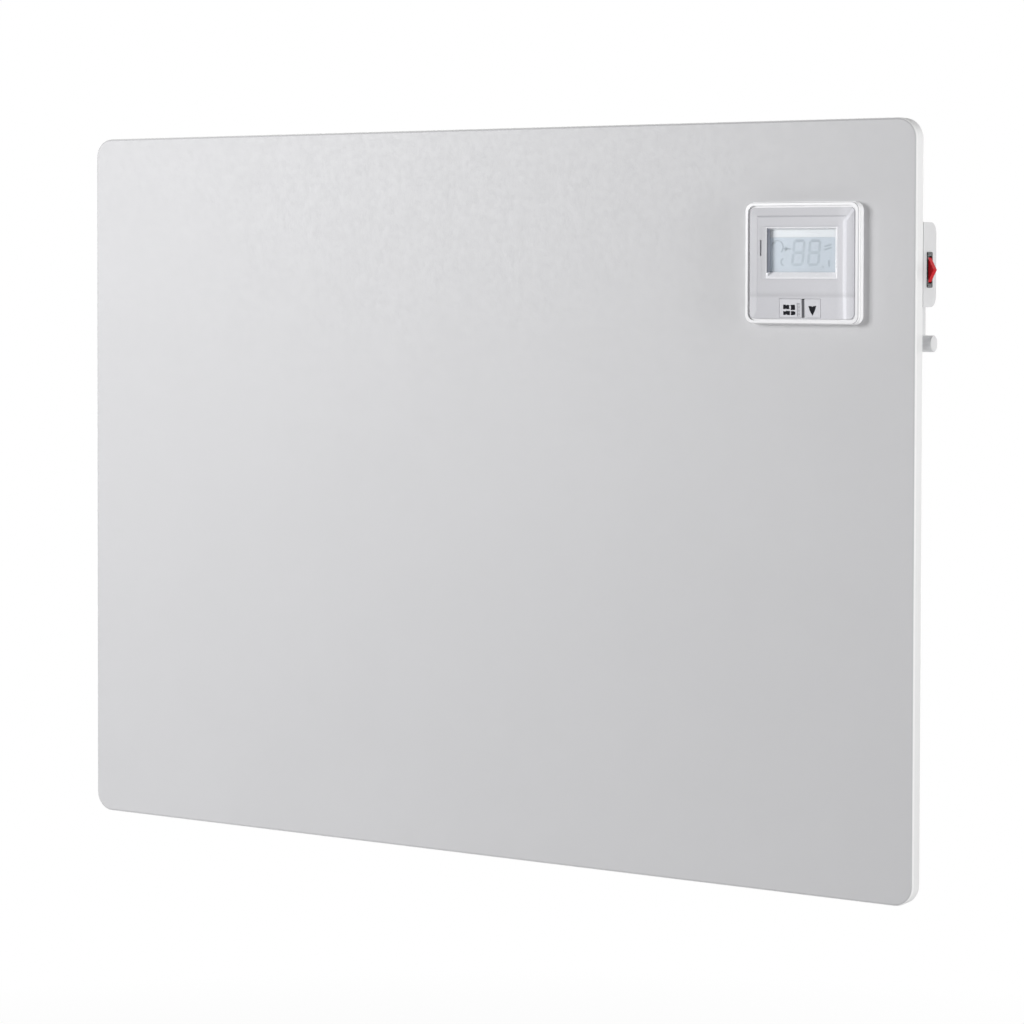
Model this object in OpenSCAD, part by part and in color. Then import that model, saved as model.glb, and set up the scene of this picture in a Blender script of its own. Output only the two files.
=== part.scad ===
// Infrared panel heater for a wall, with a thermostat in its face and a control box behind it.
// Each piece is drawn in drawing axes: x to the right, y up, z out of the wall into the room.
// stand() then turns it upright: +Z up, the front facing -Y, the wall plane at Y = 0.
// The origin is the middle of the four wall keyholes, on the wall plane.

/* [Panel] */
// Width of the panel
panel_w = 800; // [700:10:1200]
// Height of the panel
panel_h = 600; // [540:10:900]
// Depth of the panel, from its front face to its back
panel_t = 13; // [12:0.5:20]
// Radius of the panel's corners, seen from the front
corner_r = 16; // [15:1:40]
// Radius of the rolled front edge
edge_r = 2; // [1.6:0.2:4]
// Sheet thickness of the front tray
sheet_t = 1; // [0.6:0.1:1.4]
// Width of the flange folded in at the tray's back
flange_w = 12; // [11:0.5:14]
// Sheet thickness of the rear cover
cover_t = 0.8; // [0.6:0.1:1.2]
// Distance of the rear cover's edge from the tray's side
cover_inset = 1.2; // [0.8:0.1:2]

/* [Heating layers] */
// Thickness of the heating mat
mat_t = 0.6; // [0.4:0.1:1]
// Distance of the mat's edge from the panel's side
mat_inset = 18; // [15:1:30]
// Width of a copper busbar
busbar_w = 12; // [8:1:20]
// Thickness of a busbar and of the foil between the busbars
foil_t = 0.3; // [0.2:0.1:0.5]
// Clear margin round the thermostat's body in the heating layers
window_margin = 10; // [9:0.5:12]

/* [Wall mounting] */
// Gap between the panel's back and the wall
standoff = 25; // [24:1:60]
// Distance of the keyholes from the panel's left and right edges
keyhole_in_x = 200; // [190:5:250]
// Distance of the keyholes from the panel's top and bottom edges
keyhole_in_y = 120; // [100:5:140]
// Radius of a keyhole's round entry
keyhole_r = 5; // [4:0.5:6]
// Width of a keyhole's narrow slot
slot_w = 5; // [3.5:0.5:6]
// Height of the narrow slot's end above the entry's middle
slot_rise = 11; // [9:1:14]
// Width of a bracket between the outsides of its webs
bracket_w = 60; // [50:1:70]
// Height of a bracket
bracket_h = 46; // [42:1:60]
// Sheet thickness of a bracket
bracket_t = 1.5; // [1:0.1:2]
// Width of a bracket's foot on the rear cover
foot_w = 14; // [12:1:16]
// Bend radius of a bracket, outside
bend_r = 3; // [2:0.5:4]

/* [Control box] */
// Depth of the control box behind the panel
box_depth = 23.5; // [21:0.5:24]
// Room in the box between the terminal block and the box's bottom
box_room = 12.5; // [11:0.5:24]
// Length of the leads between the thermostat's terminals and the terminal block
lead_drop = 6.7; // [4:0.1:16]
// Height of the box's top above the middle of the thermostat
box_above = 31.3; // [30.5:0.1:34]
// Distance of the box's left side from the middle of the thermostat
box_left = 45.3; // [42:0.1:60]
// Distance of the box's right side from the panel's right edge
console_inset = 8.6; // [8:0.1:10]
// Width of the box's rounded right end
console_w = 13.4; // [12:0.1:14]
// Height of the pod that carries the switch
pod_h = 64.7; // [62:0.1:70]
// Rounding of the right end's edges on the wall side
pod_r = 9; // [5:0.5:9]
// Wall thickness of the control box
box_wall = 2; // [1.6:0.1:2.4]
// Floor thickness of the control box
box_floor = 1.5; // [1.2:0.1:2]
// Corner radius of the control box
box_r = 5; // [4:0.5:7]
// Thickness of the box's lid
lid_t = 2.5; // [2:0.1:3]
// Edge rounding of the lid
lid_edge_r = 1.5; // [0.8:0.1:1.8]
// Depth of the push cap and the cord gland behind the panel's back
control_in = 12; // [11.5:0.5:12.5]

/* [Switch and push cap] */
// Depth of the switch behind the panel's back
switch_in = 10.8; // [10.4:0.1:12]
// Distance of the switch's middle below the pod's top
switch_drop = 36.3; // [34:0.1:38]
// Height of the switch's rim
rim_h = 27.2; // [26.6:0.1:29]
// Width of the switch's rim
rim_w = 9.2; // [8.8:0.1:10]
// Thickness of the switch's rim
rim_t = 0.8; // [0.6:0.1:1.2]
// Height of the switch's body
switch_h = 25; // [24.6:0.1:25.4]
// Width of the switch's body
switch_w = 7.8; // [7.6:0.1:8.2]
// Depth of the switch's body behind the pod's face
switch_d = 16; // [15:0.5:18]
// Width of the rocker
rocker_w = 6; // [5.6:0.1:6]
// Half height of the rocker where its slopes end
rocker_half = 9.3; // [8.8:0.1:10.4]
// Height of the rocker's ridge above the pod's face
ridge_rise = 5; // [4:0.1:5.5]
// Depth of the rocker's pivot behind the pod's face
pivot_in = 3.5; // [3.2:0.1:4]
// Height of the push cap's middle above the box's bottom
cap_lift = 6.9; // [6.5:0.1:8]
// Radius of the push cap
cap_r = 6.35; // [5:0.05:6.4]
// Reach of the push cap past the panel's right edge
cap_out = 4; // [3:0.5:8]
// Travel of the push cap
cap_travel = 2.2; // [1.5:0.1:2.2]
// Gap between the push cap and the box, at rest
cap_gap = 2.5; // [2.4:0.1:3]
// Radius of the push cap's stem
cap_stem_r = 2.5; // [2:0.1:2.8]

/* [Cord gland] */
// Radius of the gland's bore for the cord
gland_bore_r = 3.75; // [3:0.05:4]
// Radius of the gland's thread
gland_thread_r = 6; // [5.6:0.1:6.4]
// Distance of the gland from the middle of the thermostat, to the left
gland_left = 25; // [24:0.1:26]

/* [Thermostat] */
// Distance of the thermostat's middle from the panel's right edge
thermo_in_x = 92.7; // [88:0.1:110]
// Distance of the thermostat's middle from the panel's top edge
thermo_in_y = 110.3; // [106:0.1:116]
// Width of the thermostat's ring
ring_w = 97.2; // [96:0.1:100]
// Height of the thermostat's ring
ring_h = 93.6; // [93:0.1:97]
// Corner radius of the ring
ring_r = 6.5; // [5:0.1:8]
// Width of the ring's front face
ring_face = 2.4; // [2.2:0.1:3]
// Depth of the ring
ring_t = 3.5; // [3:0.1:4]
// Depth of the base's plinth, from the panel's front to the ring
plinth_t = 5; // [4.6:0.1:6]
// Distance that the plinth stands out past the ring
plinth_step = 0.4; // [0.2:0.1:1]
// Wall thickness of the thermostat's body
body_wall = 1.8; // [1.4:0.1:2.2]
// Width and height of the thermostat's body behind the panel's face
body_size = 54; // [50:1:54]
// Depth of the thermostat's body behind the panel's front face
body_in = 26; // [24:1:26]
// Clearance round the body in the openings that it passes
body_play = 1; // [0.5:0.1:1]

/* [Fascia and buttons] */
// Gap between the fascia and the ring
fascia_gap = 1.5; // [0.9:0.1:1.6]
// Height of the fascia's raised middle above the ring
fascia_rise = 0.2; // [0:0.1:0.8]
// Depth of the fascia's outer edge below the ring's face
fascia_sink = 0.9; // [0.4:0.1:1.2]
// Width of the fascia's sloping sides
bevel_w = 7.6; // [5:0.1:9]
// Height of the short steep step at the inner end of the sloping sides
step_h = 0.6; // [0.3:0.1:0.8]
// Width of that step
step_w = 1.4; // [0.8:0.1:2]
// Wall thickness of the fascia's raised middle
fascia_wall = 1.8; // [1.4:0.1:2]
// Height of the fascia's lower zone, which slopes back below the display
slope_h = 19.5; // [18:0.1:21]
// Drop of the lower zone at its bottom edge
slope_drop = 0.9; // [0:0.1:1]
// Distance of the display's window from the fascia's left edge
window_left = 14.8; // [13:0.1:20]
// Distance of the window from the fascia's right edge
window_right = 13.4; // [11:0.1:20]
// Distance of the window from the fascia's top edge
window_top = 15.4; // [10:0.1:20]
// Distance of the window from the fascia's bottom edge
window_bottom = 31.2; // [24:0.1:36]
// Depth of the display's lens below the fascia's front
window_d = 4.3; // [3:0.1:4.4]
// Height of the lip round the window above the fascia
lip_rise = 0.3; // [0.1:0.1:0.4]
// Width of the lip at the window's left side
lip_left = 4.2; // [1:0.1:4.4]
// Width of the lip at the window's other sides
lip_w = 1; // [0.6:0.1:2]
// Width of the slope on the lip's left side
lip_slope = 1.1; // [0.4:0.1:1.6]
// Width of the window frame's slope at the left
sill_left = 0.7; // [0.4:0.1:3]
// Width of the window frame's slope at the right
sill_right = 3.5; // [0.4:0.1:6]
// Width of the window frame's slope at the bottom
sill_bottom = 4.3; // [0.4:0.1:6]
// Width of the window frame's slope at the top
sill_top = 1; // [0.4:0.1:3]
// Width of the left button
left_button_w = 19; // [15:0.1:19.4]
// Width of the right button
right_button_w = 13.8; // [12:0.1:18]
// Height of both buttons
button_h = 14.2; // [12:0.1:15]
// Height of the buttons' middle above the fascia's bottom edge
button_lift = 8.1; // [8:0.1:10]
// Width of the rib between the buttons
rib_w = 1.5; // [1.5:0.1:2.4]
// Distance of the rib's middle to the right of the fascia's middle
rib_x = 1.9; // [0:0.1:3]
// Clearance round the buttons and the rib
button_play = 0.3; // [0.1:0.05:0.35]
// Travel of the buttons
button_travel = 0.7; // [0.5:0.1:0.7]

/* [Hidden] */
$fn = 48;
// Overshoot of a cut past the face that it starts from
eps = 0.1;

// Levels along z, counted from the wall
back_z = standoff;
front_z = back_z + panel_t;
face_in_z = front_z - sheet_t;
mat_z = face_in_z - mat_t;
foil_z = mat_z - foil_t;
cover_in_z = back_z + cover_t;
box_z = back_z - box_depth;
lid_in_z = box_z + lid_t;
floor_z = back_z - box_floor;
control_z = back_z - control_in;
switch_z = back_z - switch_in;
plinth_z = front_z + plinth_t;
ring_z = plinth_z + ring_t;
body_z = front_z - body_in;
base_floor_t = 1.5;
base_in_z = front_z + base_floor_t;

// Places in the x and y of the drawing
right_x = panel_w / 2;
top_y = panel_h / 2;
thermo_x = right_x - thermo_in_x;
thermo_y = top_y - thermo_in_y;
body_half = body_size / 2;
terminals_h = 6;
terminals_y0 = thermo_y - body_half - terminals_h;
block_h = 16;
block_y0 = terminals_y0 - lead_drop - block_h;
box_y1 = thermo_y + box_above;
box_y0 = block_y0 - box_room;
box_h = box_y1 - box_y0;
box_x0 = thermo_x - box_left;
console_x1 = right_x - console_inset;
console_x0 = console_x1 - console_w;
pod_y0 = box_y1 - pod_h;
switch_y = box_y1 - switch_drop;
cap_y = box_y0 + cap_lift;
gland_x = thermo_x - gland_left;
opening_half = body_half + body_play;
window_half = body_half + window_margin;

// Screws and rivets: radii of shanks, heads and the holes for them
screw_r = 1.45;
screw_head_r = 3.3;
screw_head_t = 1.8;
pilot_r = 1.5;
clear_r = 1.65;
rivet_r = 2;
rivet_hole_r = 2.05;
rivet_head_r = 4;
rivet_head_t = 1.2;
rivet_tail_r = 2.8;
rivet_tail_t = 2.5;

// Rear cover screws, in the middle of the tray's flange
cover_screw_in = 6.5;
cover_screw_l = 5;
screws_across = 6;
screws_up = 4;
row_margin_x = 30;
row_margin_y = 60;
row_pitch_x = (panel_w - 2 * row_margin_x) / (screws_across - 1);
row_pitch_y = (panel_h - 2 * row_margin_y) / (screws_up - 1);
screw_row_x = [for (i = [0:screws_across - 1]) row_margin_x - right_x + i * row_pitch_x];
screw_row_y = [for (i = [0:screws_up - 1]) row_margin_y - top_y + i * row_pitch_y];
under_box_margin = 8;
function under_box(p) =
    p.x > box_x0 - under_box_margin && p.y > box_y0 - under_box_margin && p.y < box_y1 + under_box_margin;
cover_screw_points = [
    for (p = concat(
        [for (x = screw_row_x, side = [-1, 1]) [x, side * (top_y - cover_screw_in)]],
        [for (y = screw_row_y, side = [-1, 1]) [side * (right_x - cover_screw_in), y]]
    )) if (!under_box(p)) p
];

// Wall brackets
keyhole_x = right_x - keyhole_in_x;
keyhole_y = top_y - keyhole_in_y;
bracket_below = 20;
foot_x = bracket_w / 2 + foot_w / 2;
rivet_low = -10;
rivet_high = 16;
rivet_points = [
    for (sx = [-1, 1], sy = [-1, 1], side = [-1, 1], y = [rivet_low, rivet_high])
        [sx * keyhole_x + side * foot_x, sy * keyhole_y + y]
];
pocket_r = 3.4;

// Stiffening beads pressed into the rear cover
bead_w = 14;
bead_rise = 2;
bead_pitch = 90;
bead_end = 90;
bead_half = right_x - bead_end;

// Screws that hold the box to the rear cover, and the earth screw beside them
box_screw_in = 8;
box_screw_back = 12;
box_screw_low = 18.5;
box_screw_high = 18;
box_screw_mid = 41.5;
box_screw_top = 9;
box_screw_left = box_x0 + box_screw_in;
box_screw_right = console_x0 - box_screw_back;
box_screw_points = [
    [box_screw_left, box_y0 + box_screw_low], [box_screw_left, box_y1 - box_screw_high],
    [box_screw_right, box_y0 + box_screw_mid], [box_screw_right, box_y1 - box_screw_top]
];
box_screw_l = 5.5;
earth_in = 9;
earth_up = 50.5;
earth_point = [box_x0 + earth_in, box_y0 + earth_up];
ring_tag_r = 4.2;
ring_tag_t = 0.8;
ring_tag_w = 3;
ring_tag_l = 12;
earth_lead_drop = 8;

// Screws of the lid, in bosses of the box
lid_boss_r = 3.5;
lid_screw_r = 1.2;
lid_bore_r = 1.25;
lid_screw_l = 9;
lid_head_r = 2.4;
lid_head_t = 1.2;
lid_boss_in = 4.8;
lid_boss_mid = 33;
lid_screw_points = [
    [box_x0 + lid_boss_in, box_y0 + lid_boss_in], [box_x0 + lid_boss_in, box_y1 - lid_boss_in],
    [console_x0 - lid_boss_mid, box_y0 + lid_boss_in], [console_x0 - lid_boss_in, box_y1 - lid_boss_in]
];
lid_hole_play = 0.2;
lid_play = 0.2;
vent_slot_w = 2.4;
vent_slot_l = 26;
vent_pitch = 5.5;
vents = 7;
vent_gap = 7;
vent_shift = -3.5;
vent_row_y = [for (side = [-1, 1]) vent_shift + side * (vent_slot_l + vent_gap) / 2];

// Leads inside the box: the hole they come through, and the block they end in
block_right = 36.7;
block_x1 = thermo_x + block_right;
block_w = 48;
lead_r = 1.2;
lead_bend = 5;
port_r = 7;
port_drop = 2;
port_in = 14;
port_x = block_x1 + port_in;
port_y = block_y0 + block_h - port_drop;
port_spread = 3;
lead_turn_x = 8;
lead_step_x = 5;
lead_groove_r = 1.5;
lead_z = cover_in_z + lead_groove_r;
block_t = 16;
block_row_in = 4.5;
block_low_y = block_y0 + block_row_in;
block_high_y = block_y0 + block_h - block_row_in;
block_row_z = 4.5;
block_near_z = floor_z - block_row_z;
block_far_z = floor_z - block_t + block_row_z - 1;
poles = 5;
pole_pitch = 9;
pole_in = 6;
pole_well_r = 2.2;
pole_well_d = 4;
busbar_in = 4;
busbar_y = top_y - mat_inset - busbar_w / 2 - busbar_in;
busbar_end = 5;
busbar_l = panel_w - 2 * (mat_inset + busbar_end);
foil_gap = 5;
board_gap = 1;
layer_r = 4;
opening_r = 1.5;

// Rocker switch: the body's opening and the rocker's pivot
switch_back_x = right_x - switch_d;
pivot_x = right_x - pivot_in;
pivot_r = 1.2;
pivot_bore_r = 1.25;
pivot_half = rocker_w / 2 + 0.4;
rocker_slot_w = rocker_w + 0.4;
rocker_foot = 0.6;
rocker_slot_play = 0.5;
rocker_sweep_play = 0.2;
rocker_slot_h = 2 * (rocker_half + rocker_foot + rocker_slot_play);
rocker_slot_in = 10;
rocker_sweep_r = rocker_half + rocker_foot + rocker_sweep_play;
rocker_back_x = -2.5;
rocker_back_half = 6;
rim_r = 1.2;
shoulder_x = pivot_in + 0.3;
tab_w = 4.8;
tab_t = 0.8;
tab_l = 8;
tab_pitch = 8;

// Push cap: its collar inside the box's wall, and the cut-out that it reaches
cap_x1 = right_x + cap_out;
cap_x0 = console_x1 + cap_gap;
cap_face_r = 0.8;
stem_play = 0.1;
collar_r = 4.2;
collar_t = 1.5;
wall_in_x = console_x1 - box_wall;
plunger_gap = 0.3;
plunger_r = 1.5;
plunger_l = 1.8;
stem_l = 9.7;
stem_x0 = wall_in_x - stem_l;
plunger_x = stem_x0 - cap_travel - plunger_gap;
cutout_x1 = plunger_x - plunger_l;
cutout_l = 11;
cutout_h = 12.5;
cutout_t = 17.5;

// Cord gland
gland_flange_r = 9;
gland_flange_t = 5;
gland_dome_r = 8;
gland_dome_l = 8.5;
gland_tip_r = 6;
gland_tip_l = 4;
gland_in = 9.5;
gland_nut_r = 8.5;
gland_nut_t = 4;
gland_play = 0.05;

// Thermostat
plinth_w = ring_w + 2 * plinth_step;
plinth_h = ring_h + 2 * plinth_step;
plinth_r = ring_r + plinth_step;
plinth_wall = 3.65;
base_floor_in = 1;
ring_edge = 0.8;
ring_pocket_r = 5.6;
ledge_r = 3;
mould_r = 2;
base_screw_out = 5;
base_screw_x = body_half + base_screw_out;
base_screw_l = 6.5;
base_head_t = 1.4;
retainer_play = 1;
retainer_half = window_half - retainer_play;
retainer_t = 1.5;
ledge_w = 3;
ledge_drop = 2.1;
fascia_w = ring_w - 2 * ring_face - 2 * fascia_gap;
fascia_h = ring_h - 2 * ring_face - 2 * fascia_gap;
fascia_r = ring_pocket_r - fascia_gap;
fascia_z = ring_z - ledge_drop;
fascia_edge_z = ring_z - fascia_sink;
middle_z = ring_z + fascia_rise;
fascia_top_z = middle_z + lip_rise;
pocket_z = middle_z - fascia_wall;
pocket_in = 9;
pocket_in_y = 2;
crease_y = -fascia_h / 2 + slope_h;
board_t = 1.6;
board_z = base_in_z;
board_top_z = board_z + board_t;
board_in = 4;
board_w = fascia_w - 2 * board_in;
board_h = fascia_h - 2 * board_in;
board_hole_play = 0.3;
window_low = [window_left - fascia_w / 2, window_bottom - fascia_h / 2];
window_high = [fascia_w / 2 - window_right, fascia_h / 2 - window_top];
lens_z = fascia_top_z - window_d;
lens_t = 0.6;
frame_rim = 0.4;
frame_lap = 1.6;
notch_w = 1.3;
notch_l = 12;
notch_d = 1.2;
notch_x = window_low.x - lip_left - notch_w / 2;
notch_top = 9.8;
notch_y = window_high.y - notch_top - notch_l / 2;
keypad_t = 0.8;
keypad_past = 1;
keypad_in = 0.6;
dome_r = 2.5;
dome_gap = 0.1;
button_y = -fascia_h / 2 + button_lift;
button_flange_t = 1;
button_flange_w = 1;
button_foot = 1.5;
button_foot_rise = 0.4;
button_proud = 0.15;
rib_left = rib_x - rib_w / 2;
rib_right = rib_x + rib_w / 2;
left_button_x = rib_left - button_play - left_button_w / 2;
right_button_x = rib_right + button_play + right_button_w / 2;
dome_top_z = pocket_z - button_flange_t - button_travel - dome_gap;
body_in_half = body_half - body_wall;
body_floor_z = body_z + body_wall;
post_t = 3.2;
post_r = 2.4;
post_in = 2.5;
power_board_z = body_floor_z + post_t;
power_board_gap = 0.5;
relay_low = [-20, -4];
relay_high = [0, 12];
relay_t = 13;
terminals_w = 30;
terminals_t = 10;
terminals_lift = 1;
thermostat_lead_pitch = 9;
thermostat_lead_z = body_z + terminals_lift + terminals_t / 2;

// Colours
white_steel = [0.86, 0.86, 0.87];
white_plastic = [0.90, 0.90, 0.90];
silver_plastic = [0.74, 0.74, 0.77];
black_plastic = [0.08, 0.08, 0.09];
steel = [0.66, 0.67, 0.69];
copper = [0.78, 0.47, 0.30];
brass_colour = [0.80, 0.66, 0.35];
board_green = [0.10, 0.38, 0.22];
lead_colour = [0.85, 0.83, 0.78];

// Turns a piece drawn against the wall upright
module stand() rotate([90, 0, 0]) children();

// Extrudes an outline in x and y from one level to another
module layer(z0, z1) translate([0, 0, z0]) linear_extrude(z1 - z0) children();

// A round bar or hole along z
module bar_z(p, r, z0, z1) translate([p.x, p.y, z0]) cylinder(r = r, h = z1 - z0);

// A round bar or hole along x
module bar_x(x0, x1, y, z, r) translate([x0, y, z]) rotate([0, 90, 0]) cylinder(r = r, h = x1 - x0);

// A round bar or hole along y
module bar_y(x, y0, y1, z, r) translate([x, y1, z]) rotate([90, 0, 0]) cylinder(r = r, h = y1 - y0);

// Extrudes an outline drawn in y and z along x
module along_x(x0, x1)
    translate([x0, 0, 0]) rotate([90, 0, 90]) linear_extrude(x1 - x0) children();

// A block between two corners
module block(low, high) translate(low) cube(high - low);

// A rectangle with round corners, centred
module round_rect(w, h, r) {
    square([w - 2 * r, h], center = true);
    square([w, h - 2 * r], center = true);
    for (sx = [-1, 1], sy = [-1, 1]) translate([sx * (w / 2 - r), sy * (h / 2 - r)]) circle(r);
}

// The ring between two rectangles with round corners
module round_ring(w, h, r, wall) difference() {
    round_rect(w, h, r);
    round_rect(w - 2 * wall, h - 2 * wall, max(r - wall, 0.5));
}

// Carries a profile round a rectangle with round corners. The profile is drawn in x and z,
// with its x counted outwards from the corners' centres.
module edge_sweep(w, h, r) for (turn = [0:3]) {
    long = (turn % 2 == 0 ? w : h) - 2 * r;
    wide = (turn % 2 == 0 ? h : w) - 2 * r;
    rotate(90 * turn) {
        translate([long / 2, wide / 2]) rotate_extrude(angle = 90) children();
        translate([-long / 2, wide / 2]) rotate([90, 0, 90]) linear_extrude(long) children();
    }
}

// A quarter of a disc or of a ring, its centre on the profile's corner
module quarter(r, r_in = 0) intersection() {
    difference() {
        circle(r);
        if (r_in > 0) circle(r_in);
    }
    square(r + 1);
}

// A plate with its front edge rounded, standing on z = 0
module soft_plate(w, h, t, r, edge) {
    layer(0, t - edge) round_rect(w, h, r);
    layer(t - edge, t) round_rect(w - 2 * edge, h - 2 * edge, r - edge);
    translate([0, 0, t - edge]) edge_sweep(w, h, r) translate([r - edge, 0]) quarter(edge);
}

// A block whose four sides slope: corners low and high at z0, drawn in by the four insets at z1
module taper_block(low, high, z0, z1, left, right, bottom, top) intersection() {
    translate([0, high.y + 1, 0]) rotate([90, 0, 0]) linear_extrude(high.y - low.y + 2)
        polygon([[low.x, z0], [high.x, z0], [high.x - right, z1], [low.x + left, z1]]);
    along_x(low.x - 1, high.x + 1)
        polygon([[low.y, z0], [high.y, z0], [high.y - top, z1], [low.y + bottom, z1]]);
}

// A rectangle rounded only at its two corners on the wall side, drawn in y and z
module wall_side_round(y0, y1, z0, z1, r) {
    translate([y0 + r, z0]) square([y1 - y0 - 2 * r, z1 - z0]);
    translate([y0, z0 + r]) square([y1 - y0, z1 - z0 - r]);
    for (y = [y0 + r, y1 - r]) translate([y, z0 + r]) circle(r);
}

// A screw along z: the head's outer face is at z, and dir is the way that the screw points
module screw(p, z, dir, length, r = screw_r, head_r = screw_head_r, head_t = screw_head_t) {
    slot = head_r * 0.25;
    translate([p.x, p.y, z]) mirror([0, 0, dir < 0 ? 1 : 0]) {
        difference() {
            cylinder(r = head_r, h = head_t);
            translate([-head_r - 1, -slot / 2, -eps]) cube([2 * head_r + 2, slot, head_t / 2 + eps]);
        }
        translate([0, 0, head_t]) cylinder(r = r, h = length);
    }
}

// A lead swept along a route of corners, each rounded by the bend
function unit(v) = v / norm(v);
function bend_points(a, b, c, bend) = let (
    p = b + unit(a - b) * min(bend, norm(a - b) / 2),
    q = b + unit(c - b) * min(bend, norm(c - b) / 2)
) [for (t = [0:0.2:1]) (1 - t) * (1 - t) * p + 2 * t * (1 - t) * b + t * t * q];
function route(corners, bend) = concat(
    [corners[0]],
    [for (i = [1:len(corners) - 2], p = bend_points(corners[i - 1], corners[i], corners[i + 1], bend)) p],
    [corners[len(corners) - 1]]
);
function headings(path) = let (last = len(path) - 1) [
    for (i = [0:last]) unit(path[min(i + 1, last)] - path[max(i - 1, 0)])
];
function across(n, t) = unit(n - (n * t) * t);
module lead(corners, r, start_side) {
    path = route(corners, lead_bend);
    ahead = headings(path);
    last = len(path) - 1;
    sides = 10;
    normals = [for (
        i = 0, n = across(start_side, ahead[0]); i <= last; i = i + 1, n = across(n, ahead[min(i, last)])
    ) n];
    rings = [for (i = [0:last], k = [0:sides - 1])
        let (a = 360 * k / sides) path[i] + r * (cos(a) * normals[i] + sin(a) * cross(ahead[i], normals[i]))];
    polyhedron(rings, concat(
        [[for (k = [0:sides - 1]) k]],
        [for (i = [0:last - 1], k = [0:sides - 1]) let (a = i * sides + k, b = i * sides + (k + 1) % sides)
            [a, a + sides, b + sides, b]],
        [[for (k = [sides - 1:-1:0]) last * sides + k]]
    ));
}

// The square opening that the thermostat's body passes through
module body_opening(z0, z1, half, r = opening_r)
    translate([thermo_x, thermo_y, 0]) layer(z0, z1) round_rect(2 * half, 2 * half, r);

module front_panel() color(white_steel) stand() difference() {
    union() {
        layer(face_in_z, front_z) round_rect(panel_w - 2 * edge_r, panel_h - 2 * edge_r, corner_r - edge_r);
        translate([0, 0, front_z - edge_r]) edge_sweep(panel_w, panel_h, corner_r)
            translate([corner_r - edge_r, 0]) quarter(edge_r, edge_r - sheet_t);
        layer(cover_in_z, front_z - edge_r) round_ring(panel_w, panel_h, corner_r, sheet_t);
        layer(cover_in_z, cover_in_z + sheet_t) round_ring(panel_w, panel_h, corner_r, flange_w);
    }
    body_opening(face_in_z - eps, front_z + eps, opening_half);
    for (side = [-1, 1])
        bar_z([thermo_x + side * base_screw_x, thermo_y], clear_r, face_in_z - eps, front_z + eps);
    for (p = cover_screw_points) bar_z(p, pilot_r, cover_in_z - eps, cover_in_z + sheet_t + eps);
}

module heating_mat() color(black_plastic) stand() difference() {
    layer(mat_z, face_in_z) round_rect(panel_w - 2 * mat_inset, panel_h - 2 * mat_inset, layer_r);
    body_opening(mat_z - eps, face_in_z + eps, window_half);
}

module busbars() color(copper) stand() for (side = [-1, 1]) translate([0, side * busbar_y, 0])
    layer(foil_z, mat_z) square([busbar_l, busbar_w], center = true);

module reflector_foil() color(steel) stand() difference() {
    layer(foil_z, mat_z) square([busbar_l, 2 * busbar_y - busbar_w - 2 * foil_gap], center = true);
    body_opening(foil_z - eps, mat_z + eps, window_half);
}

// The board has grooves for the element leads, and pockets for the tails of rivets and screws
module insulation_board() color([0.82, 0.78, 0.66]) stand() difference() {
    inset = flange_w + board_gap;
    layer(cover_in_z, foil_z) round_rect(panel_w - 2 * inset, panel_h - 2 * inset, layer_r);
    body_opening(cover_in_z - eps, foil_z + eps, window_half);
    for (p = concat(rivet_points, box_screw_points, [earth_point]))
        bar_z(p, pocket_r, cover_in_z - eps, cover_in_z + box_screw_l);
    bar_z([port_x, port_y], port_r, cover_in_z - eps, cover_in_z + lead_groove_r * 2);
    for (side = [-1, 1]) {
        x = port_x + side * port_spread;
        y = side * busbar_y;
        block([x - lead_groove_r, min(y, port_y), cover_in_z - eps],
            [x + lead_groove_r, max(y, port_y), cover_in_z + lead_groove_r * 2]);
        bar_z([x, y], lead_groove_r, cover_in_z - eps, foil_z + eps);
        block([x - lead_groove_r, min(y, y - side * lead_bend), cover_in_z - eps],
            [x + lead_groove_r, max(y, y - side * lead_bend), foil_z + eps]);
    }
}

module rear_cover() color(steel) stand() difference() {
    union() {
        layer(back_z, cover_in_z)
            round_rect(panel_w - 2 * cover_inset, panel_h - 2 * cover_inset, corner_r - cover_inset);
        for (y = [-1:1]) translate([0, y * bead_pitch, 0])
            layer(back_z - bead_rise, cover_in_z) round_rect(2 * bead_half, bead_w, bead_w / 2 - eps);
    }
    for (y = [-1:1]) translate([0, y * bead_pitch, 0]) layer(back_z - bead_rise + cover_t, cover_in_z + eps)
        round_rect(2 * (bead_half - cover_t), bead_w - 2 * cover_t, bead_w / 2 - cover_t - eps);
    body_opening(back_z - eps, cover_in_z + eps, opening_half);
    bar_z([port_x, port_y], port_r, back_z - eps, cover_in_z + eps);
    for (p = cover_screw_points) bar_z(p, clear_r, back_z - eps, cover_in_z + eps);
    for (p = rivet_points) bar_z(p, rivet_hole_r, back_z - eps, cover_in_z + eps);
    for (p = concat(box_screw_points, [earth_point])) bar_z(p, pilot_r, back_z - eps, cover_in_z + eps);
}

module cover_screws() color(steel) stand()
    for (p = cover_screw_points) screw(p, back_z - screw_head_t, 1, cover_screw_l);

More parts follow.
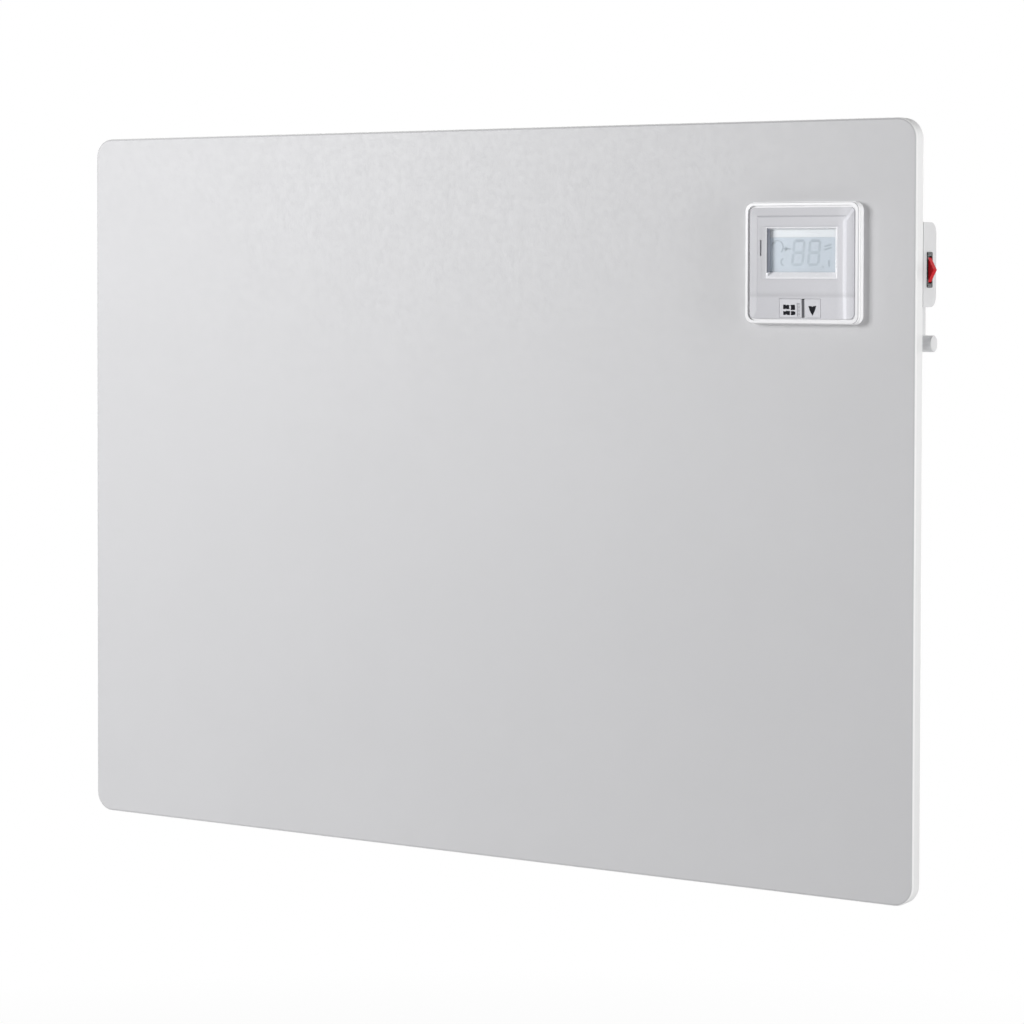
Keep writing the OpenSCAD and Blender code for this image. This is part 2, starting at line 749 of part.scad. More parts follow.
// A hat of folded sheet: two feet on the rear cover, two webs, and a wall plate with a keyhole
module wall_bracket(sx, sy) color(steel) stand() translate([sx * keyhole_x, sy * keyhole_y, 0]) difference() {
    translate([0, bracket_h - bracket_below, 0]) rotate([90, 0, 0]) linear_extrude(bracket_h) union() {
        difference() {
            translate([0, back_z]) round_rect(bracket_w, 2 * back_z, bend_r);
            translate([0, back_z + bracket_t])
                round_rect(bracket_w - 2 * bracket_t, 2 * back_z, bend_r - bracket_t);
            translate([-bracket_w, back_z]) square([2 * bracket_w, 2 * back_z]);
        }
        for (side = [-1, 1]) translate([side * (foot_x - bracket_t / 2), back_z - bracket_t / 2])
            square([foot_w + bracket_t, bracket_t], center = true);
    }
    bar_z([0, 0], keyhole_r, -eps, bracket_t + eps);
    bar_z([0, slot_rise], slot_w / 2, -eps, bracket_t + eps);
    block([-slot_w / 2, 0, -eps], [slot_w / 2, slot_rise, bracket_t + eps]);
    for (side = [-1, 1], y = [rivet_low, rivet_high])
        bar_z([side * foot_x, y], rivet_hole_r, back_z - bracket_t - eps, back_z + eps);
}

module bracket_top_left() wall_bracket(-1, 1);
module bracket_top_right() wall_bracket(1, 1);
module bracket_bottom_left() wall_bracket(-1, -1);
module bracket_bottom_right() wall_bracket(1, -1);

module bracket_rivets() color(steel) stand() for (p = rivet_points) {
    bar_z(p, rivet_head_r, back_z - bracket_t - rivet_head_t, back_z - bracket_t);
    bar_z(p, rivet_r, back_z - bracket_t - eps, cover_in_z + eps);
    bar_z(p, rivet_tail_r, cover_in_z, cover_in_z + rivet_tail_t);
}

// From each busbar down a groove of the board, through the port and to the terminal block
module element_leads() color(lead_colour) stand() {
    for (side = [-1, 1]) {
        x = port_x + side * port_spread;
        y = port_y + side * port_spread;
        end_y = side > 0 ? block_high_y : block_low_y;
        lead([
            [x, side * busbar_y, foil_z], [x, side * busbar_y, lead_z], [x, y, lead_z],
            [x, y, block_near_z], [x - lead_turn_x, end_y, block_near_z], [block_x1, end_y, block_near_z]
        ], lead_r, [1, 0, 0]);
    }
}

module lid_screw_heads() for (p = lid_screw_points)
    bar_z(p, lid_head_r + lid_hole_play, box_z - eps, box_z + lid_head_t);

// Outline of the box's part that the lid closes
module box_outline(inset) {
    w = console_x0 - box_x0;
    translate([box_x0 + w / 2, (box_y0 + box_y1) / 2]) {
        round_rect(w - 2 * inset, box_h - 2 * inset, max(box_r - inset, 0.5));
        translate([0, inset - box_h / 2]) square([w / 2, box_h - 2 * inset]);
    }
}

module console(x0, x1, y0, inset) along_x(x0, x1) wall_side_round(
    y0 + inset, box_y1 - inset, box_z + inset, inset > 0 ? floor_z : back_z, max(pod_r - inset, 0.5)
);

module control_box() color(white_plastic) stand() difference() {
    union() {
        difference() {
            union() {
                layer(lid_in_z, back_z) box_outline(0);
                console(console_x0, console_x1, box_y0, 0);
                console(console_x1 - eps, right_x, pod_y0, 0);
            }
            layer(lid_in_z - eps, floor_z) box_outline(box_wall);
            console(console_x0 - eps, console_x1 - box_wall, box_y0, box_wall);
            block([console_x0 - box_wall - 1, box_y0 + box_wall, lid_in_z - eps],
                [console_x0 + 1, box_y1 - box_wall, floor_z]);
            console(console_x1 - box_wall - 1, right_x - box_wall, pod_y0, box_wall);
        }
        for (p = lid_screw_points) bar_z(p, lid_boss_r, lid_in_z, floor_z + eps);
    }
    for (p = lid_screw_points) bar_z(p, lid_bore_r, lid_in_z - eps, lid_in_z + lid_screw_l);
    body_opening(floor_z - eps, back_z + eps, opening_half);
    bar_z([port_x, port_y], port_r, floor_z - eps, back_z + eps);
    for (p = box_screw_points) bar_z(p, clear_r, floor_z - eps, back_z + eps);
    bar_z(earth_point, pilot_r, floor_z - eps, back_z + eps);
    bar_x(wall_in_x - eps, console_x1 + eps, cap_y, control_z, cap_stem_r + stem_play);
    bar_y(gland_x, box_y0 - eps, box_y0 + box_wall + eps, control_z, gland_thread_r + gland_play);
    block([right_x - box_wall - eps, switch_y - switch_h / 2 - eps, switch_z - switch_w / 2 - eps],
        [right_x + eps, switch_y + switch_h / 2 + eps, switch_z + switch_w / 2 + eps]);
}

// A lid with a rounded outer edge, sunk screw heads and two rows of vents
module box_lid() color(white_plastic) stand() difference() {
    w = console_x0 - lid_play - box_x0;
    translate([box_x0, box_y0, lid_in_z]) mirror([0, 0, 1]) union() {
        translate([w / 2, box_h / 2, 0]) soft_plate(w, box_h, lid_t, box_r, lid_edge_r);
        block([w - box_r, 0, 0], [w, box_r, lid_t - lid_edge_r]);
        block([w - box_r, box_h - box_r, 0], [w, box_h, lid_t - lid_edge_r]);
    }
    for (p = lid_screw_points) bar_z(p, lid_screw_r + lid_hole_play, box_z - eps, lid_in_z + eps);
    lid_screw_heads();
    for (i = [0:vents - 1], y = vent_row_y)
        translate([thermo_x + (i - (vents - 1) / 2) * vent_pitch, thermo_y + y, 0])
            layer(box_z - eps, lid_in_z + eps) round_rect(vent_slot_w, vent_slot_l, vent_slot_w / 2 - 0.1);
}

module box_screws() color(steel) stand()
    for (p = box_screw_points) screw(p, floor_z - screw_head_t, 1, box_screw_l);

module lid_screws() color(steel) stand()
    for (p = lid_screw_points) screw(p, box_z, 1, lid_screw_l, lid_screw_r, lid_head_r, lid_head_t);

// Five poles with a screw well each
module terminal_block() color([0.93, 0.92, 0.86]) stand() difference() {
    block([block_x1 - block_w, block_y0, floor_z - block_t], [block_x1, block_y0 + block_h, floor_z]);
    for (i = [0:poles - 1], y = [block_low_y, block_high_y]) bar_z(
        [block_x1 - block_w + pole_in + i * pole_pitch, y], pole_well_r,
        floor_z - block_t - eps, floor_z - block_t + pole_well_d
    );
}

// Manual-reset cut-out, with its plunger towards the push cap
module overheat_cutout() color(black_plastic) stand() {
    y0 = box_y0 + box_wall;
    block([cutout_x1 - cutout_l, y0, floor_z - cutout_t], [cutout_x1, y0 + cutout_h, floor_z]);
    bar_x(cutout_x1 - eps, plunger_x, cap_y, control_z, plunger_r);
}

// The cap outside, its stem through the wall, and the collar that keeps it in
module reset_cap() color(white_plastic) stand() {
    bar_x(cap_x0, cap_x1 - cap_face_r, cap_y, control_z, cap_r);
    bar_x(cap_x0, cap_x1, cap_y, control_z, cap_r - cap_face_r);
    translate([cap_x1 - cap_face_r, cap_y, control_z]) rotate([0, 90, 0]) rotate_extrude()
        translate([cap_r - cap_face_r, 0]) quarter(cap_face_r);
    bar_x(stem_x0, cap_x0 + eps, cap_y, control_z, cap_stem_r);
    bar_x(wall_in_x - collar_t, wall_in_x, cap_y, control_z, collar_r);
}

module switch_body() color(black_plastic) stand() difference() {
    union() {
        along_x(right_x, right_x + rim_t) translate([switch_y, switch_z]) round_rect(rim_h, rim_w, rim_r);
        block([switch_back_x, switch_y - switch_h / 2, switch_z - switch_w / 2],
            [right_x + rim_t / 2, switch_y + switch_h / 2, switch_z + switch_w / 2]);
    }
    block([right_x - rocker_slot_in, switch_y - rocker_slot_h / 2, switch_z - rocker_slot_w / 2],
        [right_x + rim_t + eps, switch_y + rocker_slot_h / 2, switch_z + rocker_slot_w / 2]);
    bar_z([pivot_x, switch_y], pivot_bore_r, switch_z - pivot_half, switch_z + pivot_half);
}

// A roof shape with its ridge at half height, drawn from its pivot
module switch_rocker() color([0.72, 0.06, 0.08]) stand() translate([pivot_x, switch_y, switch_z]) {
    translate([0, 0, -rocker_w / 2]) linear_extrude(rocker_w) intersection() {
        polygon([
            [pivot_in + ridge_rise, 0], [shoulder_x, rocker_half], [0, rocker_half + rocker_foot],
            [rocker_back_x, rocker_back_half], [rocker_back_x, -rocker_back_half],
            [0, -rocker_half - rocker_foot], [shoulder_x, -rocker_half]
        ]);
        circle(rocker_sweep_r);
    }
    translate([0, 0, -pivot_half]) cylinder(r = pivot_r, h = 2 * pivot_half);
}

module switch_tabs() color(brass_colour) stand() for (i = [-1:1])
    translate([switch_back_x - tab_l / 2, switch_y + i * tab_pitch, switch_z])
        cube([tab_l, tab_t, tab_w], center = true);

module switch_leads() color(lead_colour) stand() for (i = [0, 1]) {
    x0 = switch_back_x - tab_l;
    x1 = x0 - lead_step_x * (1 + i);
    y0 = switch_y - (1 - i) * tab_pitch;
    y1 = i == 0 ? block_low_y : block_high_y;
    lead([[x0, y0, switch_z], [x1, y0, switch_z], [x1, y1, block_far_z], [block_x1, y1, block_far_z]],
        lead_r, [0, 0, 1]);
}

// Body, thread and clamping dome of the gland, with one bore for the cord
module cord_gland() color(black_plastic) stand() difference() {
    union() {
        bar_y(gland_x, box_y0 - eps, box_y0 + gland_in, control_z, gland_thread_r);
        translate([gland_x, box_y0, control_z]) rotate([90, 0, 0]) {
            cylinder(r = gland_flange_r, h = gland_flange_t, $fn = 6);
            translate([0, 0, gland_flange_t - eps]) cylinder(r = gland_dome_r, h = gland_dome_l + eps);
            translate([0, 0, gland_flange_t + gland_dome_l])
                cylinder(r1 = gland_dome_r, r2 = gland_tip_r, h = gland_tip_l);
        }
    }
    gland_y0 = box_y0 - gland_flange_t - gland_dome_l - gland_tip_l;
    bar_y(gland_x, gland_y0 - eps, box_y0 + gland_in + eps, control_z, gland_bore_r);
}

module gland_nut() color(black_plastic) stand() difference() {
    y0 = box_y0 + box_wall;
    translate([gland_x, y0, control_z]) rotate([-90, 0, 0])
        cylinder(r = gland_nut_r, h = gland_nut_t, $fn = 6);
    bar_y(gland_x, y0 - eps, y0 + gland_nut_t + eps, control_z, gland_thread_r + gland_play);
}

// The earth screw clamps a ring tag to the box's floor and the rear cover
module earth_screw() color(brass_colour) stand()
    screw(earth_point, floor_z - ring_tag_t - screw_head_t, 1, box_screw_l + ring_tag_t);

module earth_lead() color([0.35, 0.62, 0.20]) stand() {
    difference() {
        union() {
            bar_z(earth_point, ring_tag_r, floor_z - ring_tag_t, floor_z);
            block([earth_point.x - ring_tag_w / 2, earth_point.y - ring_tag_l, floor_z - ring_tag_t],
                [earth_point.x + ring_tag_w / 2, earth_point.y, floor_z]);
        }
        bar_z(earth_point, pilot_r, floor_z - ring_tag_t - eps, floor_z + eps);
    }
    x0 = earth_point.x;
    y0 = earth_point.y - earth_lead_drop;
    x1 = block_x1 - block_w;
    y1 = block_y0 + block_h / 2;
    z1 = block_far_z;
    lead([[x0, y0, floor_z - ring_tag_t], [x0, y0, z1], [x0, y1, z1], [x1, y1, z1]], lead_r, [1, 0, 0]);
}

// Plinth on the panel's front, back plate, and the body that reaches into the control box
module thermostat_base() color(white_plastic) stand() difference() {
    union() {
        translate([thermo_x, thermo_y, 0]) {
            layer(front_z, plinth_z) round_ring(plinth_w, plinth_h, plinth_r, plinth_wall);
            layer(front_z, base_in_z) round_rect(
                plinth_w - 2 * base_floor_in, plinth_h - 2 * base_floor_in, plinth_r - base_floor_in
            );
            layer(body_z, front_z + eps) round_ring(body_size, body_size, mould_r, body_wall);
            layer(body_z, body_floor_z) round_rect(body_size, body_size, mould_r);
            for (sx = [-1, 1], sy = [-1, 1])
                bar_z([sx, sy] * (body_in_half - post_in), post_r, body_z + eps, power_board_z);
        }
    }
    body_opening(front_z - eps, base_in_z + eps, body_in_half, mould_r / 2);
    for (side = [-1, 1])
        bar_z([thermo_x + side * base_screw_x, thermo_y], clear_r, front_z - eps, base_in_z + eps);
}

// Sheet frame behind the panel's face that the base is screwed to
module thermostat_retainer() color(steel) stand() difference() {
    z0 = face_in_z - retainer_t;
    body_opening(z0, face_in_z, retainer_half);
    body_opening(z0 - eps, face_in_z + eps, opening_half);
    for (side = [-1, 1])
        bar_z([thermo_x + side * base_screw_x, thermo_y], pilot_r, z0 - eps, face_in_z + eps);
}

module base_screws() color(steel) stand() for (side = [-1, 1])
    screw([thermo_x + side * base_screw_x, thermo_y], base_in_z + base_head_t, -1, base_screw_l,
        head_t = base_head_t);

// White rim with a rounded front edge and a ledge that carries the fascia
module thermostat_ring() color(white_plastic) stand() translate([thermo_x, thermo_y, 0]) difference() {
    translate([0, 0, plinth_z]) soft_plate(ring_w, ring_h, ring_t, ring_r, ring_edge);
    layer(fascia_z, ring_z + eps) round_rect(ring_w - 2 * ring_face, ring_h - 2 * ring_face, ring_pocket_r);
    layer(plinth_z - eps, fascia_z + eps) round_rect(
        ring_w - 2 * (ring_face + ledge_w), ring_h - 2 * (ring_face + ledge_w), ledge_r
    );
}

// Opening for both buttons and the rib
module button_opening(z0, z1) {
    x0 = rib_left - 2 * button_play - left_button_w;
    x1 = rib_right + 2 * button_play + right_button_w;
    block([x0, button_y - button_h / 2 - button_play, z0], [x1, button_y + button_h / 2 + button_play, z1]);
}

// The fascia's outer form: sloping sides that end in a step, a flat middle and a lower zone that slopes back
module fascia_form(grow = 0) intersection() {
    w = fascia_w / 2;
    h = fascia_h / 2;
    z = middle_z + grow;
    layer(fascia_z, fascia_top_z + 1) round_rect(fascia_w, fascia_h, fascia_r);
    translate([0, h + 1, 0]) rotate([90, 0, 0]) linear_extrude(fascia_h + 2) polygon([
        [-w, fascia_z], [w, fascia_z], [w, fascia_edge_z + grow], [w - bevel_w + step_w, z - step_h],
        [w - bevel_w, z], [bevel_w - w, z], [bevel_w - step_w - w, z - step_h], [-w, fascia_edge_z + grow]
    ]);
    along_x(-w - 1, w + 1) polygon([
        [-h, fascia_z], [h, fascia_z], [h, fascia_edge_z + grow], [h - bevel_w + step_w, z - step_h],
        [h - bevel_w, z], [crease_y, z], [-h, z - slope_drop]
    ]);
}

module fascia() color(silver_plastic) stand() translate([thermo_x, thermo_y, 0]) difference() {
    union() {
        fascia_form();
        block([window_low.x - lip_left, window_low.y - lip_w, pocket_z],
            [window_high.x + lip_w, window_high.y + lip_w, middle_z]);
        taper_block(
            [window_low.x - lip_left, window_low.y - lip_w], [window_high.x + lip_w, window_high.y + lip_w],
            middle_z - eps, fascia_top_z, lip_slope, lip_rise, lip_rise, lip_rise
        );
    }
    layer(fascia_z - eps, pocket_z)
        square([fascia_w - 2 * pocket_in, fascia_h - 2 * pocket_in_y], center = true);
    block([window_low.x, window_low.y, pocket_z - eps], [window_high.x, window_high.y, fascia_top_z + eps]);
    block([notch_x - notch_w / 2, notch_y - notch_l / 2, middle_z - notch_d],
        [notch_x + notch_w / 2, notch_y + notch_l / 2, fascia_top_z]);
    button_opening(fascia_z, fascia_top_z + 1);
}

// A plate behind the window, lapping it all round
module behind_window(z0, z1) block(
    [window_low.x - frame_lap, window_low.y - frame_lap, z0],
    [window_high.x + frame_lap, window_high.y + frame_lap, z1]
);

// White frame that fills the window down to the lens, with a steep side at the left
module display_frame() color(white_plastic) stand() translate([thermo_x, thermo_y, 0]) difference() {
    union() {
        behind_window(lens_z, pocket_z);
        block([window_low.x, window_low.y, lens_z], [window_high.x, window_high.y, fascia_top_z]);
    }
    taper_block(
        [window_low.x + frame_rim, window_low.y + frame_rim],
        [window_high.x - frame_rim, window_high.y - frame_rim],
        fascia_top_z + eps / 10, lens_z - eps / 10, sill_left, sill_right, sill_bottom, sill_top
    );
}

module display_lens() color([0.75, 0.82, 0.86, 0.4]) stand() translate([thermo_x, thermo_y, 0])
    behind_window(lens_z - lens_t, lens_z);

module display_module() color([0.72, 0.78, 0.82]) stand() translate([thermo_x, thermo_y, 0])
    behind_window(board_top_z, lens_z - lens_t);

module control_board() color(board_green) stand() translate([thermo_x, thermo_y, 0]) difference() {
    layer(board_z, board_top_z) square([board_w, board_h], center = true);
    for (side = [-1, 1]) bar_z(
        [side * base_screw_x, 0], screw_head_r + board_hole_play, board_z - eps, board_top_z + eps
    );
}

// Rubber mat on the board, with a dome under each button and the rib between them
module keypad() color(black_plastic) stand() translate([thermo_x, thermo_y, 0]) {
    x0 = left_button_x - left_button_w / 2 - keypad_past;
    x1 = right_button_x + right_button_w / 2 + keypad_past;
    y0 = button_y - button_h / 2 + keypad_in;
    y1 = button_y + button_h / 2 - keypad_in;
    block([x0, y0, board_top_z], [x1, y1, board_top_z + keypad_t]);
    for (x = [left_button_x, right_button_x])
        bar_z([x, button_y], dome_r, board_top_z + keypad_t - eps, dome_top_z);
    intersection() {
        fascia_form();
        block([rib_left, y0, board_top_z + keypad_t - eps], [rib_right, y1, fascia_top_z]);
    }
    block([rib_left, y0, board_top_z + keypad_t - eps], [rib_right, y1, fascia_z + eps]);
}

// A button that follows the fascia's slope, with a flange behind the fascia at its top and outer side
module push_button(x, w, outer) {
    low = button_y - button_h / 2;
    high = button_y + button_h / 2;
    flange = button_flange_w + 2 * button_play;
    intersection() {
        fascia_form(button_proud);
        union() {
            block([x - w / 2, low + button_foot, pocket_z - eps], [x + w / 2, high, fascia_top_z + 1]);
            block([x - w / 2, low, pocket_z + button_foot_rise], [x + w / 2, high, fascia_top_z + 1]);
        }
    }
    block(
        [x - w / 2 - (outer < 0 ? flange : 0), low + button_foot, pocket_z - button_flange_t],
        [x + w / 2 + (outer > 0 ? flange : 0), high + flange, pocket_z]
    );
}

module left_button() color(silver_plastic) stand() translate([thermo_x, thermo_y, 0])
    push_button(left_button_x, left_button_w, -1);

module right_button() color(silver_plastic) stand() translate([thermo_x, thermo_y, 0])
    push_button(right_button_x, right_button_w, 1);

module power_board() color(board_green) stand() translate([thermo_x, thermo_y, 0])
    layer(power_board_z, power_board_z + board_t) square(2 * (body_in_half - power_board_gap), center = true);

module power_relay() color([0.15, 0.25, 0.55]) stand() translate([thermo_x, thermo_y, 0]) {
    z0 = power_board_z + board_t;
    block([relay_low.x, relay_low.y, z0], [relay_high.x, relay_high.y, z0 + relay_t]);
}

// Screw terminals under the thermostat's body, and the leads down to the terminal block
module thermostat_terminals() color([0.20, 0.45, 0.30]) stand() {
    z0 = body_z + terminals_lift;
    block([thermo_x - terminals_w / 2, terminals_y0, z0],
        [thermo_x + terminals_w / 2, terminals_y0 + terminals_h, z0 + terminals_t]);
}

module thermostat_leads() color(lead_colour) stand() for (i = [-1:1]) bar_y(
    thermo_x + i * thermostat_lead_pitch, block_y0 + block_h, terminals_y0, thermostat_lead_z, lead_r
);

front_panel();
heating_mat();
busbars();
reflector_foil();
insulation_board();
rear_cover();
cover_screws();
bracket_top_left();
bracket_top_right();
bracket_bottom_left();
bracket_bottom_right();
bracket_rivets();
element_leads();
control_box();
box_lid();
box_screws();
lid_screws();
terminal_block();
overheat_cutout();
reset_cap();
switch_body();
switch_rocker();
switch_tabs();
switch_leads();
cord_gland();
gland_nut();
earth_screw();
earth_lead();
thermostat_base();
thermostat_retainer();
base_screws();
thermostat_ring();
fascia();
display_frame();
display_lens();
display_module();
control_board();
keypad();
left_button();
right_button();
power_board();
power_relay();
thermostat_terminals();
thermostat_leads();
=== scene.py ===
"""Finishes, small parts and studio for an infrared panel heater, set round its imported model."""

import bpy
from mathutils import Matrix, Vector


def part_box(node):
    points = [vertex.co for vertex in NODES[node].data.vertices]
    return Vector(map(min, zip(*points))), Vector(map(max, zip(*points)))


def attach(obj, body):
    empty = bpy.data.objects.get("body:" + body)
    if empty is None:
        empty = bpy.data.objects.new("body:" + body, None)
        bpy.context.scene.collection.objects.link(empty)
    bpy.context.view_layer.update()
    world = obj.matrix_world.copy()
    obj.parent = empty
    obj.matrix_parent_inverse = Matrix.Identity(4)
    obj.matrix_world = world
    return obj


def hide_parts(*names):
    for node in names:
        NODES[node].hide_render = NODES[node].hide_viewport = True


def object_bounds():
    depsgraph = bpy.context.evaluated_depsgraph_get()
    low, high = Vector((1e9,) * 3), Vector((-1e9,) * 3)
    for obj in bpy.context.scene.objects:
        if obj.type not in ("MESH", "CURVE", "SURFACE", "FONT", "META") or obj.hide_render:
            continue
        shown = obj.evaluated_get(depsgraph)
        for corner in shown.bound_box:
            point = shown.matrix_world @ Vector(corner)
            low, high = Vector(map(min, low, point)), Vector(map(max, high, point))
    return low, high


bl_info = {
    "name": "Infrared panel heater",
    "version": (1, 0, 0),
    "blender": (4, 5, 0),
    "location": "View3D > Sidebar > Heater",
    "description": "Finishes, small parts and studio for an infrared panel heater",
    "category": "Object",
}

import math

import bmesh
import bpy
from bpy.props import FloatProperty, FloatVectorProperty, IntProperty, PointerProperty
from bpy.types import Operator, Panel, PropertyGroup
from mathutils import Matrix, Vector
from mathutils.bvhtree import BVHTree

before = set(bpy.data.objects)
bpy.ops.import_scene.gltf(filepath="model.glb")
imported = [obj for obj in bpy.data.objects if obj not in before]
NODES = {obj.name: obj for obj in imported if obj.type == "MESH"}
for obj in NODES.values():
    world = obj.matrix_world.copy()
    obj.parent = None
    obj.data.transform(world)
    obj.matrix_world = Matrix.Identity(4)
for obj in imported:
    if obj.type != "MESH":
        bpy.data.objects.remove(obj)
CAD_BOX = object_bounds()
MM = 0.001


def span(start, end):
    """Where a tone starts and ends to change, given in millimetres."""
    return start * MM, end * MM


def shade(red, green, blue):
    """A screen colour, 0 to 255, as the linear colour that shaders use."""
    return tuple(
        v / 12.92 if v <= 0.04045 else ((v + 0.055) / 1.055) ** 2.4
        for v in (red / 255, green / 255, blue / 255)
    )


FACE_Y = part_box("front_panel")[0].y
RING_LOW, RING_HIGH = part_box("thermostat_ring")
DIAL = (RING_LOW + RING_HIGH) / 2
BODY = "heater"

# Behind the panel's face: where a painted shade line runs just before the edge, where the edge starts to
# roll, and where the painted highlight on the roll ends
EDGE_SHADE_LINE = span(0.01, 0.12)
ROLL_START = span(0.3, 0.7)
ROLL_HIGHLIGHT_END = span(1.6, 3)
# Behind the ring's front, where the painted shade on the bead's flank starts and ends, and the painted
# light on its upright side starts
FLANK_SHADE_START = span(0.05, 0.25)
FLANK_SHADE_END = span(1.1, 0.8)
UPRIGHT_LIGHT_START = span(0.8, 1.2)
# Across the fascia from the thermostat's middle, and up it: where painted shade, painted light and the
# painted highlight on the crease lie
LEFT_SHADE = span(-40, 20)
RIGHT_SLOPE_LIGHT = span(30, 38)
CREASE_HIGHLIGHT_START = span(35.2, 36.4)
CREASE_HIGHLIGHT_END = span(38.9, 38.2)
CREASE_BEND = span(32, 44)
CREASE_SHIFT = 9 * MM
TOP_MARGIN_SHADE = span(35, 37)
ABOVE_FOLD_SHADE = span(-21.5, -24.8)
BELOW_FOLD_LIGHT = span(-25.2, -27)
# From the thermostat's middle: the window's sill and the cell's left edge, where painted light lies, and
# the figures' top row
WINDOW_SILL_LIGHT = span(-3, -4)
CELL_LEFT_LIGHT = span(-26.4, -27.6)
TOP_ROW = span(14, 17)
# Outwards from between the figures, inwards from a key's edge over its painted shade, and along the cap
# towards its end over the painted light on its side
SMALL_SIGNS = span(13.6, 14.2)
KEY_EDGE_SHADE = span(0.1, 0.9)
CAP_SIDE_LIGHT = span(-1.2, -0.3)

# How deep the display's layers lie, how wide their borders are and the room between them
HOLDER_SUNK = 0.04 * MM
TRAY_SUNK = 0.5 * MM
TRAY_LIP = 0.8 * MM
CELL_SUNK = 0.1 * MM
CELL_BACK = 0.49 * MM
CELL_INSET = 1 * MM
CELL_GAP = 0.1 * MM
# How far thin layers stand in front of what they lie on, and reach into it
SEGMENT_FILM = (0.02 * MM, 0.01 * MM)
PRINTED_INK = (0.03 * MM, 0.05 * MM)
# How far the painted shade strip's two faces stand off the window's side, and its ends off the lip and
# the lens
SHADE_STRIP_SIDES = (0.14 * MM, 0.01 * MM)
SHADE_STRIP_HELD = 0.02 * MM

# Window's steep left side at the lip and at the lens: left edge, foot and top, in mm from the middle
WINDOW_OUTER = (-29.5, -7.6, 27.1)
WINDOW_INNER = (-28.8, -7.0, 26.1)
# Middles of the figures and of the first and last tick, in mm across and up, and the size of a tick
FIGURE_MIDDLES = ((-4.5, 8.0), (9.1, 8.0))
TICK_MIDDLES = ((-1.7, -31.0), (-1.7, -40.7))
TICK_SIZE = (2.0, 0.06, 0.35)

# The range that most of a noise's values lie in
LUMPS = (0.3, 0.7)

STEEL = shade(184, 186, 190)
BRASS = shade(206, 178, 112)
BRACKET_SPANGLE = 0.7
PIN_SIZES = dict.fromkeys(("Head radius", "Head height", "Shank radius", "Length", "Lean"), "Float")
MANDREL_TAIL = 2.4 * MM
RIB_FOOT = 4.4 * MM
# Points nearer than this are one, edges are broken by this, and a bend past this stays sharp
TOUCHING = 0.01 * MM
BROKEN_EDGE = 0.06 * MM
SHARP_EDGE = math.radians(32)

# Each lamp's place, the point that it faces, its width and its height, in metres
LAMPS = {
    "key": ((-1.35, -2.0, 0.6), (0, FACE_Y, 0), 1.0, 1.0),
    "side": ((1.9, -0.22, 0.12), (0.4, -0.03, 0.02), 0.34, 1.2),
    "back": ((0.3, 2.4, 0.3), (0, 0, 0), 1.2, 1.0),
}
# Viewpoint in metres, its turn about the upright, tilt and roll in radians, its lens in mm and its shift
CAMERA_PLACE = (1.3774, -2.1571, 0.1799)
CAMERA_TURN, CAMERA_TILT, CAMERA_ROLL = 0.563128, -0.027009, 0.002212
CAMERA_LENS, CAMERA_SHIFT = 107.729, -0.1504
# Where the floor ends and where it fades to white, in metres, and how white it is before that
FLOOR_RADIUS = 9.0
FLOOR_FADE = (0.8, 2.4)
FLOOR_WHITE = 0.78


def share_of(share, colour):
    """A colour times a plain number."""
    return tuple(share * v for v in colour)


def colour_property(name, description, red, green, blue):
    """A colour that the user can change."""
    return FloatVectorProperty(
        name=name, description=description, subtype="COLOR", size=3, min=0, max=1,
        default=shade(red, green, blue),
    )


def length_property(name, description, millimetres):
    """A length that the user can change, in metres."""
    metres = millimetres * MM
    return FloatProperty(name=name, description=description, unit="LENGTH", min=0, default=metres)


def power_property(name, description, watts):
    """A lamp's power that the user can change."""
    return FloatProperty(name=name, description=description, unit="POWER", min=0, default=watts)


def share_property(name, description, share):
    """A share of a whole that the user can change."""
    return FloatProperty(name=name, description=description, min=0, max=1, default=share)


class PanelLook(PropertyGroup):
    """Sheet metal and the layers inside it"""

    face: colour_property("Face", "Enamel on the flat front", 200, 200, 202)
    # Painted light: the rim is paler than the face to stand in for the light on the rolled edge and the
    # sides
    rim: colour_property("Rim", "Enamel on the rolled edge and the sides", 226, 226, 226)
    zinc: colour_property("Zinc", "Galvanised rear cover and brackets", 180, 183, 187)
    peel: length_property("Orange peel", "Size of the enamel's fine waves", 1.1)
    spangle: length_property("Spangle", "Size of the zinc's crystals", 9)


